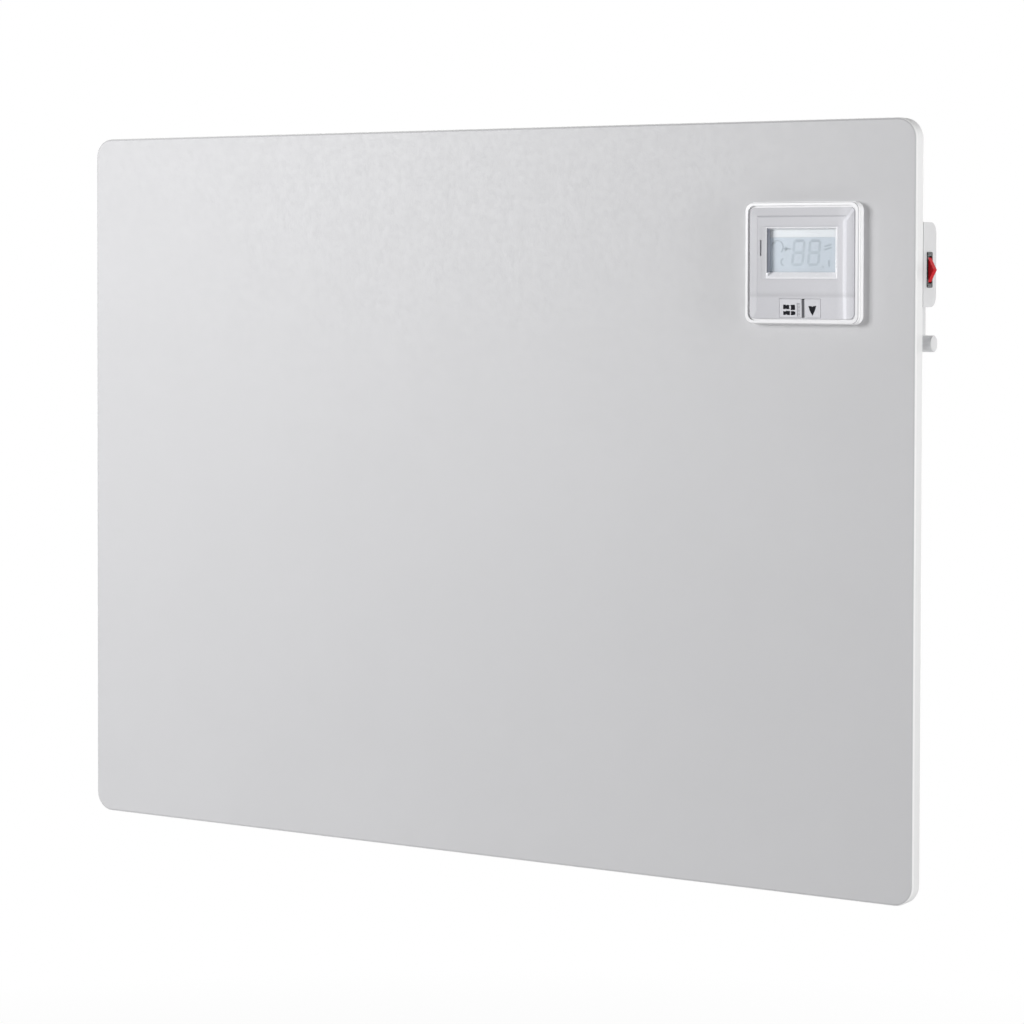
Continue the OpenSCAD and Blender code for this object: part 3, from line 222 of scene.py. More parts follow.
class ThermostatLook(PropertyGroup):
    """Thermostat on the panel's front"""

    rim: colour_property("Rim", "Glossy bead of the ring", 240, 240, 242)
    # Painted light: paler than the bead to stand in for the light on the ring's upright side and the
    # plinth
    side: colour_property("Side", "Upright side of the ring, and plinth", 246, 246, 247)
    # Painted shade on the bead's rounded flank
    flank: share_property("Flank", "Tone of the bead's rounded flank", 0.53)
    plate: colour_property("Plate", "Silver lacquer of the fascia", 202, 202, 207)
    key: colour_property("Keys", "Silver lacquer of the keys", 211, 211, 216)
    ink: colour_property("Ink", "Printed marks on the keys", 34, 34, 39)
    cell: colour_property("Cell", "Liquid crystal cell behind the window", 203, 214, 224)
    segment: colour_property("Segments", "Segments of the top row and the small signs", 168, 180, 192)
    resting: colour_property("Faint segments", "Segments below the top row", 181, 193, 204)
    # Painted reflection: the band's white stands in for the bright reflection along the top of the window
    band: colour_property("Band", "White holder above the cell", 240, 243, 245)
    well: colour_property("Well", "Frame inside the window", 240, 240, 243)
    # Painted shade: this dark strip stands in for the shade inside the window's left side
    shade_strip: colour_property("Gasket", "Dark strip at the window's left side", 140, 143, 153)
    tick: colour_property("Ticks", "Fine row of ticks on the left key", 104, 104, 110)
    band_foot: length_property("Band foot", "Lower edge of the white band above the middle", 19.9)
    figure_w: length_property("Figure width", "Width of a figure of the display", 10.8)
    figure_h: length_property("Figure height", "Height of a figure of the display", 20.6)
    bar_w: length_property("Bar width", "Width of a segment's bar", 2.2)
    slant: share_property("Slant", "Lean of the figures", 0.1)
    tick_count: IntProperty(name="Tick count", description="Ticks on a key", min=2, max=30, default=10)


class ControlLook(PropertyGroup):
    """Control box and the controls at the panel's edge"""

    box: colour_property("Box", "White moulding of the control box", 206, 206, 207)
    black: colour_property("Black", "Black nylon of switch and gland", 30, 31, 33)
    red: colour_property("Red", "Rocker of the switch", 194, 30, 38)
    cap: colour_property("Cap", "Round push cap", 206, 206, 207)
    grain: length_property("Grain", "Size of the moulding's fine grain", 0.45)


class StudioLook(PropertyGroup):
    """Lamps, floor and camera"""

    ambient: share_property("Ambient", "Light from all round", 0.18)
    key: power_property("Key", "Power of the large front lamp", 48.5)
    side: power_property("Side", "Power of the lamp at the right", 18.2)
    back: power_property("Back", "Power of the lamp behind", 24)
    floor: colour_property("Floor", "Pale floor", 232, 232, 232)
    drop: length_property("Drop", "Floor below the panel's foot", 650)


class Web:
    """A node tree that is filled by short calls."""

    def node(self, kind, inputs=(), **settings):
        """A new node, with its settings, and its inputs linked or set by name or number."""
        made = self.tree.nodes.new(kind)
        for key, value in settings.items():
            setattr(made, key, value)
        for key, value in dict(inputs).items():
            if isinstance(value, bpy.types.NodeSocket):
                self.tree.links.new(value, made.inputs[key])
            else:
                made.inputs[key].default_value = value
        return made

    def out(self, kind, inputs, **settings):
        """What a new node gives out first."""
        return self.node(kind, inputs, **settings).outputs[0]

    def maths(self, operation, a, b=0.0):
        """One operation on two values."""
        return self.out("ShaderNodeMath", {0: a, 1: b}, operation=operation)

    def times(self, a, b):
        """Two values multiplied."""
        return self.maths("MULTIPLY", a, b)

    def minus(self, a, b):
        """One value less another."""
        return self.maths("SUBTRACT", a, b)


class Finish(Web):
    """One material: a Principled shader, driven by patterns in metres on the piece's own place."""

    def __init__(self, name, colour, roughness, metallic=0.0, **sockets):
        self.material = bpy.data.materials.new(name)
        self.material.use_nodes = True
        self.tree = self.material.node_tree
        self.shader = self.tree.nodes["Principled BSDF"]
        self.plain = tuple(colour)
        self.shader.inputs["Base Color"].default_value = (*colour, 1)
        self.shader.inputs["Roughness"].default_value = roughness
        self.shader.inputs["Metallic"].default_value = metallic
        for socket, value in sockets.items():
            self.shader.inputs[socket.replace("_", " ")].default_value = value
        self.place = self.node("ShaderNodeTexCoord").outputs["Object"]

    def stretched(self, x=1.0, y=1.0, z=1.0, turn=(0, 0, 0)):
        """The piece's coordinates, stretched along its axes."""
        scale = (1 / x, 1 / y, 1 / z)
        return self.out("ShaderNodeMapping", {0: self.place, "Scale": scale, "Rotation": turn})

    def noise(self, size, detail, place=None):
        """Soft noise whose lumps are about that many metres across."""
        inputs = {"Vector": place or self.place, "Scale": 1 / size, "Detail": detail}
        return self.out("ShaderNodeTexNoise", inputs)

    def cells(self, size, feature="F1", output="Color", place=None):
        """Cells about that many metres across."""
        inputs = {"Vector": place or self.place, "Scale": 1 / size}
        return self.node("ShaderNodeTexVoronoi", inputs, feature=feature).outputs[output]

    def ramp(self, value, low, high, to_low=0.0, to_high=1.0):
        """A value carried from one range to another, held at both ends."""
        return self.out("ShaderNodeMapRange", {0: value, 1: low, 2: high, 3: to_low, 4: to_high})

    def axis(self, letter):
        """One coordinate of the piece, in metres."""
        return self.node("ShaderNodeSeparateXYZ", {0: self.place}).outputs[letter]

    def from_dial(self, letter):
        """How far across or up a point lies from the thermostat's middle, in metres."""
        return self.minus(self.axis(letter), DIAL["XYZ".index(letter)])

    def blend(self, factor, a, b):
        """A colour between two."""
        a, b = (c if isinstance(c, bpy.types.NodeSocket) else (*c, 1) for c in (a, b))
        settings = {"data_type": "RGBA", "clamp_factor": True}
        return self.node("ShaderNodeMix", {0: factor, 6: a, 7: b}, **settings).outputs[2]

    def paint(self, colour):
        """Carries a colour to the shader."""
        self.tree.links.new(colour, self.shader.inputs["Base Color"])
        return self

    def toned(self, colour, tone):
        """A colour times a value of the tree."""
        grey = self.out("ShaderNodeCombineXYZ", {0: tone, 1: tone, 2: tone})
        return self.out("ShaderNodeVectorMath", {0: colour, 1: grey}, operation="MULTIPLY")

    def mottle(self, pattern, amount):
        """Lets a pattern darken and lighten the plain colour by a share of it."""
        low = share_of(1 - amount, self.plain)
        high = tuple(min(1, v * (1 + amount)) for v in self.plain)
        return self.paint(self.blend(self.ramp(pattern, *LUMPS), low, high))

    def gloss(self, pattern, smooth, rough):
        """Lets a pattern move the roughness between two values."""
        self.tree.links.new(self.ramp(pattern, *LUMPS, smooth, rough), self.shader.inputs["Roughness"])
        return self

    def relief(self, pattern, depth, strength):
        """Raises the surface with a pattern, by a depth in metres."""
        bump = self.out("ShaderNodeBump", {"Height": pattern, "Distance": depth, "Strength": strength})
        self.tree.links.new(bump, self.shader.inputs["Normal"])
        return self

    def grained(self, grain, roughness):
        """Ends a moulding with a fine spark-eroded grain."""
        self.gloss(self.noise(grain * 2, 2), roughness - 0.05, roughness + 0.05)
        return self.relief(self.noise(grain, 1.5), 0.012 * MM, 0.6).material

    def glazed(self, roughness):
        """Ends a glossy moulding with the faint flow of its mould."""
        self.gloss(self.noise(3 * MM, 3), roughness - 0.03, roughness + 0.05)
        return self.relief(self.noise(6 * MM, 1), 0.01 * MM, 0.25).material


def enamel(look):
    """Satin powder coat with orange peel. It has a painted shade line just before the edge rolls, a
    painted highlight where the roll starts, and the paler rim colour on the roll and sides as painted
    light.
    """
    made = Finish("panel_enamel", look.face, 0.5)
    behind = made.minus(made.axis("Y"), FACE_Y)
    cloud = made.ramp(made.noise(90 * MM, 3), *LUMPS)
    face = made.blend(cloud, share_of(0.985, look.face), look.face)
    # Painted shade: a darker line on the face just before the edge rolls
    thin = made.blend(made.ramp(behind, *EDGE_SHADE_LINE), face, share_of(0.88, look.face))
    # Painted highlight brightest where the roll starts, easing to the rim colour, itself painted light,
    # on the sides
    side = made.blend(made.ramp(behind, *ROLL_HIGHLIGHT_END), share_of(1.15, look.rim), look.rim)
    made.paint(made.blend(made.ramp(behind, *ROLL_START), thin, side))
    made.gloss(made.noise(4 * MM, 2), 0.46, 0.54)
    return made.relief(made.noise(look.peel, 1.5), 0.02 * MM, 0.5).material


def galvanised(name, look, spangle):
    """Hot-dip zinc: flat crystals that differ a little in tone and gloss."""
    made = Finish(name, look.zinc, 0.55, 0.55)
    tone = made.out("ShaderNodeSeparateColor", {0: made.cells(spangle)})
    made.mottle(tone, 0.08).gloss(tone, 0.5, 0.6)
    return made.relief(made.noise(0.6 * MM, 2), 0.01 * MM, 0.5).material


def plated(name, colour, roughness):
    """Plated or bare metal with drawing lines ten times as long as wide."""
    made = Finish(name, colour, roughness, 1.0)
    streaks = made.noise(0.12 * MM, 2, made.stretched(x=10))
    made.mottle(made.noise(2.5 * MM, 3), 0.06)
    made.gloss(streaks, roughness - 0.06, roughness + 0.1)
    return made.relief(streaks, 0.003 * MM, 0.4).material


def moulded(name, colour, grain, roughness, tone=0.015, **sockets):
    """Moulded plastic with a fine spark-eroded grain."""
    made = Finish(name, colour, roughness, **sockets)
    return made.mottle(made.noise(12 * MM, 3), tone).grained(grain, roughness)


def polished(name, colour, roughness, **sockets):
    """Glossy moulding with the faint flow of its mould."""
    made = Finish(name, colour, roughness, **sockets)
    return made.mottle(made.noise(20 * MM, 2), 0.01).glazed(roughness)


def bead(look):
    """Glossy white rim, with painted shade on the rounded flank of its bead, painted light on its upright
    side, and painted light rising towards the top and the right.
    """
    made = Finish("rim_bead", look.rim, 0.3)
    below = made.minus(made.axis("Y"), RING_LOW.y)
    # Painted shade on the flank, and painted light on the upright side
    flank = made.times(made.ramp(below, *FLANK_SHADE_START), made.ramp(below, *FLANK_SHADE_END))
    upright = made.blend(made.ramp(below, *UPRIGHT_LIGHT_START), look.rim, look.side)
    white = made.blend(flank, upright, share_of(look.flank, look.rim))
    # Painted light: lighter towards the top and the right
    light_upwards = made.ramp(made.axis("Z"), RING_LOW.z, RING_HIGH.z, 0.95, 1.04)
    light_rightwards = made.ramp(made.axis("X"), RING_LOW.x, RING_HIGH.x, 0.99, 1.04)
    return made.paint(made.toned(white, made.times(light_upwards, light_rightwards))).glazed(0.3)


def cap_plastic(look):
    """Fine-grained moulding, with painted light making the cap's round side whiter than its end."""
    made = Finish("cap_plastic", look.cap, 0.4)
    end = made.ramp(made.minus(made.axis("X"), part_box("reset_cap")[1].x), *CAP_SIDE_LIGHT)
    # Painted light on the cap's round side, fading out towards its end
    return made.paint(made.blend(end, share_of(1.58, look.cap), look.cap)).grained(look.grain, 0.41)


def lacquer(name, colour, light_and_shade):
    """Silver lacquer: fine bright flakes in a satin coat, with painted light and shade laid over it."""
    made = Finish(name, colour, 0.42)
    flakes = made.out("ShaderNodeSeparateColor", {0: made.cells(0.16 * MM)})
    made.gloss(flakes, 0.36, 0.48)
    tone = made.ramp(flakes, *LUMPS, 0.95, 1.05)
    # Each further tone is painted light or painted shade
    for more in light_and_shade(made):
        tone = made.times(tone, more)
    made.paint(made.toned(made.plain, tone))
    return made.relief(made.noise(0.4 * MM, 1.5), 0.004 * MM, 0.4).material


def fascia_light_and_shade(made):
    """Painted shade to the left, on the top margin and above the fold; painted light below it and at the
    right; a painted highlight along the crease.
    """
    across, up = made.from_dial("X"), made.from_dial("Z")
    bent = made.minus(across, made.ramp(up, *CREASE_BEND, 0, CREASE_SHIFT))
    crease_highlight = made.times(made.ramp(bent, *CREASE_HIGHLIGHT_START), made.ramp(bent, *CREASE_HIGHLIGHT_END))
    return [
        # Painted shade at the left, on the top margin and above the fold; painted light at the right and
        # below the fold; painted highlight on the crease
        made.ramp(across, *LEFT_SHADE, 0.87, 1.0),
        made.ramp(across, *RIGHT_SLOPE_LIGHT, 1.0, 1.18),
        made.ramp(crease_highlight, 0, 1, 1.0, 1.27),
        made.ramp(up, *TOP_MARGIN_SHADE, 1.0, 0.92),
        made.ramp(up, *ABOVE_FOLD_SHADE, 1.0, 0.91),
        made.ramp(up, *BELOW_FOLD_LIGHT, 1.0, 1.17),
    ]


def key_edge_shade(made):
    """Painted shade along the keys' outer edges."""
    inside = made.minus(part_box("left_button")[1].z, made.axis("Z"))
    for name in ("left_button", "right_button"):
        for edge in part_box(name):
            gap = made.maths("ABSOLUTE", made.minus(made.axis("X"), edge.x))
            inside = made.maths("MINIMUM", inside, gap)
    # Painted shade: darker within a millimetre of the keys' edges
    return [made.ramp(inside, *KEY_EDGE_SHADE, 0.62, 1.0)]


def printed_film():
    """Carbon film with the heating tracks printed across it."""
    made = Finish("mat_film", shade(34, 34, 37), 0.5)
    track = made.maths("PINGPONG", made.axis("X"), 7 * MM)
    between = made.ramp(track, *span(1.4, 1.6))
    carbon = made.blend(made.noise(1.5 * MM, 3), shade(26, 26, 29), shade(42, 42, 46))
    made.paint(made.blend(between, shade(108, 96, 72), carbon))
    made.gloss(between, 0.34, 0.58)
    return made.relief(between, 0.05 * MM, 0.6).material


def crinkled_foil():
    """Aluminium foil with soft crinkles."""
    made = Finish("foil_aluminium", shade(214, 216, 219), 0.26, 1.0)
    creases = made.cells(14 * MM, "DISTANCE_TO_EDGE", "Distance")
    made.mottle(made.noise(30 * MM, 3), 0.05)
    made.gloss(made.noise(5 * MM, 2), 0.2, 0.34)
    return made.relief(made.ramp(creases, 0, 0.25), 0.4 * MM, 0.5).material


def mineral_wool():
    """Pressed fibre board: felted threads with darker shot."""
    made = Finish("insulation_wool", shade(214, 206, 178), 0.95)
    threads = made.noise(0.5 * MM, 4, made.stretched(6, 1, 2))
    across = made.noise(0.6 * MM, 4, made.stretched(1, 1, 7, (0, 0.6, 0)))
    felt = made.times(threads, across)
    return made.mottle(made.times(felt, 2.0), 0.14).relief(felt, 0.3 * MM, 0.9).material


def circuit_mask():
    """Green solder mask over copper tracks."""
    made = Finish("circuit_board", shade(24, 92, 52), 0.32)
    run = made.cells(3.2 * MM, "DISTANCE_TO_EDGE", "Distance", made.stretched(1, 1, 1.7))
    track = made.ramp(run, 0.1, 0.13)
    made.paint(made.blend(track, shade(56, 128, 70), shade(20, 84, 48)))
    made.gloss(track, 0.26, 0.38)
    return made.relief(track, 0.03 * MM, -0.6).material


def sleeve(name, colour, stripe=None):
    """Matt silicone sleeve, with a stripe along an earth lead."""
    made = Finish(name, colour, 0.55)
    if stripe:
        band = made.ramp(made.maths("PINGPONG", made.axis("X"), 0.9 * MM), *span(0.4, 0.5))
        made.paint(made.blend(band, stripe, colour))
    else:
        made.mottle(made.noise(2 * MM, 2), 0.04)
    return made.relief(made.noise(0.35 * MM, 1), 0.01 * MM, 0.5).material


def well_plastic(look):
    """White frame inside the window, with painted light making its broad sill whiter."""
    made = Finish("well_plastic", look.well, 0.24)
    sill = made.ramp(made.from_dial("Z"), *WINDOW_SILL_LIGHT)
    # Painted light on the sill
    return made.paint(made.blend(sill, look.well, share_of(1.12, look.well))).glazed(0.24)


def window_plastic():
    """Clear window, thin enough to show the cell behind it as it is."""
    made = Finish("lens_plastic", shade(236, 242, 247), 0.06, Alpha=0.12, IOR=1.45)
    made.material.surface_render_method = "BLENDED"
    return made.gloss(made.noise(8 * MM, 2), 0.04, 0.09).material


def liquid_crystal(look):
    """Pale cell with a faint cloud, and painted light making it paler at its left."""
    made = Finish("display_cell", look.cell, 0.3)
    cloud = made.ramp(made.noise(9 * MM, 2), *LUMPS)
    clouded = made.blend(cloud, share_of(0.98, look.cell), share_of(1.02, look.cell))
    left = made.ramp(made.from_dial("X"), *CELL_LEFT_LIGHT)
    # Painted light at the cell's left, where the window's side throws its shadow
    made.paint(made.blend(left, clouded, share_of(1.33, look.cell)))
    return made.gloss(made.noise(2 * MM, 2), 0.26, 0.34).material


def resting_segments(look):
    """Segments that show faintly, the top row and the small signs a little more."""
    made = Finish("display_segment", look.resting, 0.3)
    between = sum(x for x, z in FIGURE_MIDDLES) / 2 * MM
    aside = made.maths("ABSOLUTE", made.minus(made.from_dial("X"), between))
    top = made.ramp(made.from_dial("Z"), *TOP_ROW)
    strong = made.maths("MAXIMUM", top, made.ramp(aside, *SMALL_SIGNS))
    made.paint(made.blend(strong, look.resting, look.segment))
    made.gloss(made.noise(2 * MM, 2), 0.26, 0.34)
    return made.relief(made.noise(0.3 * MM, 1.5), 0.005 * MM, 0.4).material


def painted_shade_strip(look):
    """Painted shade: a dark strip, paler with depth."""
    made = Finish("window_gasket", look.shade_strip, 0.8)
    lip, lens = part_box("fascia")[0].y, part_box("display_lens")[0].y
    deep = made.ramp(made.axis("Y"), lip, lens)
    # Painted shade, darkest at the lip and paler towards the lens
    made.paint(made.blend(deep, share_of(0.5, look.shade_strip), share_of(1.15, look.shade_strip)))
    made.gloss(made.noise(0.5 * MM, 3), 0.7, 0.9)
    return made.relief(made.noise(0.25 * MM, 2), 0.03 * MM, 0.6).material


class Growth(Web):
    """A geometry node tree with named inputs, which ends in real faces with their material."""

    def __init__(self, name, sizes):
        self.tree = bpy.data.node_groups.new(name, "GeometryNodeTree")
        sockets = self.tree.interface
        sockets.new_socket("Places", in_out="INPUT", socket_type="NodeSocketGeometry")
        for label, kind in sizes.items():
            sockets.new_socket(label, in_out="INPUT", socket_type="NodeSocket" + kind)
        sockets.new_socket("Material", in_out="INPUT", socket_type="NodeSocketMaterial")
        sockets.new_socket("Pieces", in_out="OUTPUT", socket_type="NodeSocketGeometry")
        self.given = self.tree.nodes.new("NodeGroupInput").outputs

    def moved(self, mesh, z, scale=None):
        """A form moved along its axis and stretched."""
        place = self.out("ShaderNodeCombineXYZ", {2: z})
        inputs = {"Geometry": mesh, "Translation": place}
        if scale:
            inputs["Scale"] = self.out("ShaderNodeCombineXYZ", dict(enumerate(scale)))
        return self.out("GeometryNodeTransform", inputs)

    def rod(self, radius, high, low, sides=32):
        """A round bar along the axis, between two heights."""
        inputs = {"Vertices": sides, "Radius": radius, "Depth": self.minus(high, low)}
        rod = self.out("GeometryNodeMeshCylinder", inputs)
        return self.moved(rod, self.times(self.maths("ADD", high, low), 0.5))

    def dome(self, radius, height, foot):
        """A ball pressed to a radius and a height, with its middle at the foot."""
        ball = self.out("GeometryNodeMeshUVSphere", {"Segments": 32, "Rings": 16, "Radius": 1.0})
        return self.moved(ball, foot, (radius, radius, height))

    def slab(self, x, y, z, middle):
        """A box at a height of the axis."""
        size = self.out("ShaderNodeCombineXYZ", {0: x, 1: y, 2: z})
        return self.moved(self.out("GeometryNodeMeshCube", {"Size": size}), middle)

    def joined(self, operation, *meshes):
        """Forms made one, or cut by each other."""
        node = self.node("GeometryNodeMeshBoolean", operation=operation, solver="EXACT")
        rest = list(meshes)
        if operation == "DIFFERENCE":
            self.tree.links.new(rest.pop(0), node.inputs[0])
        for mesh in rest:
            self.tree.links.new(mesh, node.inputs[1])
        return node.outputs[0]

    def copies(self, points, form, **turned):
        """A form on every point."""
        return self.out("GeometryNodeInstanceOnPoints", {"Points": points, "Instance": form, **turned})

    def spread(self, form, lean=None, seed=0):
        """Sets a form on every place, leant over and turned at random about its axis."""
        if lean is None:
            return self.copies(self.given["Places"], form)
        turns = {"Max": (math.tau,) * 3, "Seed": seed}
        spin = self.out("FunctionNodeRandomValue", turns, data_type="FLOAT_VECTOR")
        about = self.node("ShaderNodeSeparateXYZ", {0: spin}).outputs[1]
        angles = self.out("ShaderNodeCombineXYZ", {0: lean, 1: about})
        turned = self.out("FunctionNodeEulerToRotation", {0: angles})
        return self.copies(self.given["Places"], form, Rotation=turned)

    def ended(self, pieces):
        """The tree's end: real faces, with their material."""
        real = self.out("GeometryNodeRealizeInstances", {0: pieces})
        inputs = {"Geometry": real, "Material": self.given["Material"]}
        self.node("NodeGroupOutput", {0: self.out("GeometryNodeSetMaterial", inputs)})
        return self.tree


def screw_growth():
    """Pan head with a cross recess on a plain shank, seen from the head along the axis."""
    made = Growth("pan_screws", PIN_SIZES)
    radius, height, shank, length, lean = (made.given[name] for name in PIN_SIZES)
    shoulder = made.times(height, -0.5)
    head = made.joined(
        "UNION",
        made.rod(radius, shoulder, made.times(height, -1)),
        made.dome(radius, made.times(height, 0.5), shoulder),
        made.rod(shank, made.times(height, -0.6), made.times(length, -1), 24),
    )
    width, reach = made.times(radius, 0.26), made.times(radius, 1.1)
    cross = [made.slab(*arm, height, 0.0) for arm in ((width, reach), (reach, width))]
    return made.ended(made.spread(made.joined("DIFFERENCE", head, *cross), lean, 7))


def rivet_growth():
    """Low domed head with the dimple of its pulled mandrel, shank and blind tail."""
    made = Growth("blind_rivets", {**PIN_SIZES, "Tail radius": "Float", "Tail height": "Float"})
    radius, height, shank, length, lean = (made.given[name] for name in PIN_SIZES)
    foot, wide = made.times(length, -1), made.times(radius, 3)
    above = made.slab(wide, wide, height, made.times(height, -0.5))
    cap = made.joined("INTERSECT", made.dome(radius, height, made.times(height, -1)), above)
    tail_top = made.maths("ADD", foot, made.given["Tail height"])
    tail = made.rod(made.given["Tail radius"], tail_top, foot, 24)
    body = made.joined("UNION", cap, made.rod(shank, made.times(height, -0.9), foot, 24), tail)
    dimple = made.rod(made.times(shank, 0.55), height, made.times(height, -0.45), 16)
    return made.ended(made.spread(made.joined("DIFFERENCE", body, dimple), lean, 11))


def tick_growth():
    """A row of like bars."""
    made = Growth("tick_row", {"Count": "Int", "Step": "Vector", "Size": "Vector"})
    bar = made.out("GeometryNodeMeshCube", {"Size": made.given["Size"]})
    inputs = {"Count": made.given["Count"], "Offset": made.given["Step"]}
    return made.ended(made.spread(made.copies(made.out("GeometryNodeMeshLine", inputs), bar)))


def rib_growth():
    """Upright grip ribs round an axis."""
    made = Growth("grip_ribs", {"Count": "Int", "Radius": "Float", "Rib": "Float", "Height": "Float"})
    inputs = {"Vertices": made.given["Count"], "Radius": made.given["Radius"]}
    turned = made.out("GeometryNodeMeshCircle", inputs)
    rib = made.rod(made.given["Rib"], made.given["Height"], 0.0, 8)
    return made.ended(made.spread(made.copies(turned, rib)))


def dress(material, *nodes):
    """Gives CAD nodes their finish."""
    for name in nodes:
        for slot in NODES[name].material_slots:
            slot.material = material


def surface_of(node):
    """The outside of a node, for finding where a thing laid on it comes to lie."""
    mesh = NODES[node].data
    points = [v.co.copy() for v in mesh.vertices]
    return BVHTree.FromPolygons(points, [list(p.vertices) for p in mesh.polygons])


def front_at(surface, x, z):
    """The depth of a surface behind a point of the front, both in metres."""
    hit = surface.ray_cast(Vector((x, CAD_BOX[0].y - 10 * MM, z)), Vector((0, 1, 0)))[0]
    if hit is None:
        raise RuntimeError(f"nothing lies behind {x:.4f}, {z:.4f}")
    return hit.y


def islands(name):
    """The corner points of each separate solid of a node."""
    mesh = bmesh.new()
    mesh.from_mesh(NODES[name].data)
    bmesh.ops.remove_doubles(mesh, verts=mesh.verts, dist=TOUCHING)
    found, left = [], set(mesh.verts)
    while left:
        group, edge = set(), [next(iter(left))]
        while edge:
            vert = edge.pop()
            if vert in group:
                continue
            group.add(vert)
            edge += [e.other_vert(vert) for e in vert.link_edges if e.other_vert(vert) not in group]
        left -= group
        found.append([v.co.copy() for v in group])
    mesh.free()
    return sorted(found, key=lambda points: tuple(round(c, 5) for c in middle_of(points)))


def middle_of(points):
    """The middle of the box round some points."""
    return Vector([(min(p[i] for p in points) + max(p[i] for p in points)) / 2 for i in range(3)])


def turned_sizes(points, outward):
    """Radii and heights of a headed pin along Y, whose head looks along +Y or -Y."""
    middle = middle_of(points)
    along = [p.y * outward for p in points]
    radii = [math.hypot(p.x - middle.x, p.z - middle.z) for p in points]
    head, top, foot = max(radii), max(along), min(along)
    head_foot = min(y for y, r in zip(along, radii) if r > 0.95 * head)
    tail = max(r for y, r in zip(along, radii) if y < foot + TOUCHING)
    shank = min(r for r in radii if r > 0.2 * head)
    return {
        "Head radius": head, "Head height": top - head_foot, "Shank radius": shank, "Length": top - foot,
        "Tail radius": tail, "Tail height": MANDREL_TAIL, "Lean": -outward * math.pi / 2,
    }


def head_top(points, outward):
    """The middle of a pin's head, on its outside."""
    place = middle_of(points)
    place.y = outward * max(p.y * outward for p in points)
    return place


def in_scene(name, data):
    """A new object in the scene."""
    made = bpy.data.objects.new(name, data)
    bpy.context.scene.collection.objects.link(made)
    return made


def add_piece(name, mesh, material, body, slot, replaced=()):
    """Puts a finished mesh in the scene as a piece that rides on a body."""
    piece = in_scene(name, mesh)
    piece.data.materials.clear()
    piece.data.materials.append(material)
    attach(piece, body)
    if replaced:
        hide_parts(*replaced)


def grow(name, tree, places, sizes, material, body, slot, replaced=()):
    """Runs a node tree on some places and keeps what it makes as one plain piece."""
    seeds = bpy.data.meshes.new(name + "_places")
    seeds.from_pydata(places, [], [])
    holder = in_scene(name + "_places", seeds)
    modifier = holder.modifiers.new("growth", "NODES")
    modifier.node_group = tree
    for socket in tree.interface.items_tree:
        if socket.in_out == "INPUT" and socket.name in sizes:
            modifier[socket.identifier] = sizes[socket.name]
        if socket.name == "Material":
            modifier[socket.identifier] = material
    mesh = bpy.data.meshes.new_from_object(holder.evaluated_get(bpy.context.evaluated_depsgraph_get()))
    bpy.data.objects.remove(holder)
    if not mesh.polygons:
        raise RuntimeError(f"{name} has no faces")
    mesh.polygons.foreach_set("material_index", [0] * len(mesh.polygons))
    mesh.shade_smooth()
    mesh.set_sharp_from_angle(angle=SHARP_EDGE)
    add_piece(name, mesh, material, body, slot, replaced)


def mesh_of(builder, name):
    """A mesh from a bmesh, with its doubles merged and its faces pointing outwards."""
    bmesh.ops.remove_doubles(builder, verts=builder.verts, dist=TOUCHING / 10)
    bmesh.ops.recalc_face_normals(builder, faces=builder.faces)
    mesh = bpy.data.meshes.new(name)
    builder.to_mesh(mesh)
    builder.free()
    return mesh


def add_built(name, builder, *place):
    """Puts what a bmesh holds in the scene as a piece."""
    add_piece(name, mesh_of(builder, name), *place)


def plate(builder, front_outline, back_outline):
    """A closed plate between two outlines with as many points."""
    front = [builder.verts.new(point) for point in front_outline]
    back = [builder.verts.new(point) for point in back_outline]
    builder.faces.new(front)
    builder.faces.new(back[::-1])
    for i in range(len(front)):
        j = (i + 1) % len(front)
        builder.faces.new((front[j], front[i], back[i], back[j]))


def prism(builder, outline, depth_at, proud, sunk):
    """A plate whose outline, in x and z, follows a depth, a little in front of it and behind it."""
    front = [(x, depth_at(x, z) - proud, z) for x, z in outline]
    plate(builder, front, [(x, depth_at(x, z) + sunk, z) for x, z in outline])


def solid(builder, low, high):
    """A closed box between two corners, with its edges broken by a hair."""
    made = bmesh.ops.create_cube(builder, size=1)["verts"]
    for vert in made:
        vert.co = Vector([low[i] if vert.co[i] < 0 else high[i] for i in range(3)])
    edges = list({edge for vert in made for edge in vert.link_edges})
    bmesh.ops.bevel(builder, geom=edges, offset=BROKEN_EDGE, segments=1, affect="EDGES")


def on_dial(x, z):
    """A point of the front, given in millimetres from the thermostat's middle."""
    return DIAL.x + x * MM, DIAL.z + z * MM


def bar_outline(ax, az, bx, bz, width):
    """A straight bar with pointed ends between two points."""
    a, b = Vector((ax, az)), Vector((bx, bz))
    tip = (b - a).normalized() * width / 2
    side = Vector((-tip.y, tip.x))
    return [tuple(p) for p in (a, a + tip + side, b - tip + side, b, b - tip - side, a + tip - side)]


def arc_outline(x, z, radius, width, start, end):
    """A stretch of a ring, with angles in degrees."""
    steps = 14
    angles = [math.radians(start + (end - start) * i / steps) for i in range(steps + 1)]
    outer, inner = radius + width / 2, radius - width / 2
    return [(x + outer * math.cos(a), z + outer * math.sin(a)) for a in angles] + [
        (x + inner * math.cos(a), z + inner * math.sin(a)) for a in reversed(angles)]


def figure_bars(x, z, look):
    """The seven bars of a figure, leaning to the right."""
    width, gap = look.bar_w / MM, 0.2
    half_w, half_h = (look.figure_w / MM - width) / 2, (look.figure_h / MM - width) / 2
    bars = [(gap - half_w, row * half_h, half_w - gap, row * half_h) for row in (-1, 0, 1)]
    for side in (-half_w, half_w):
        bars += [(side, gap, side, half_h - gap), (side, gap - half_h, side, -gap)]
    return [[(x + px + look.slant * pz, z + pz) for px, pz in bar_outline(*bar, width)] for bar in bars]


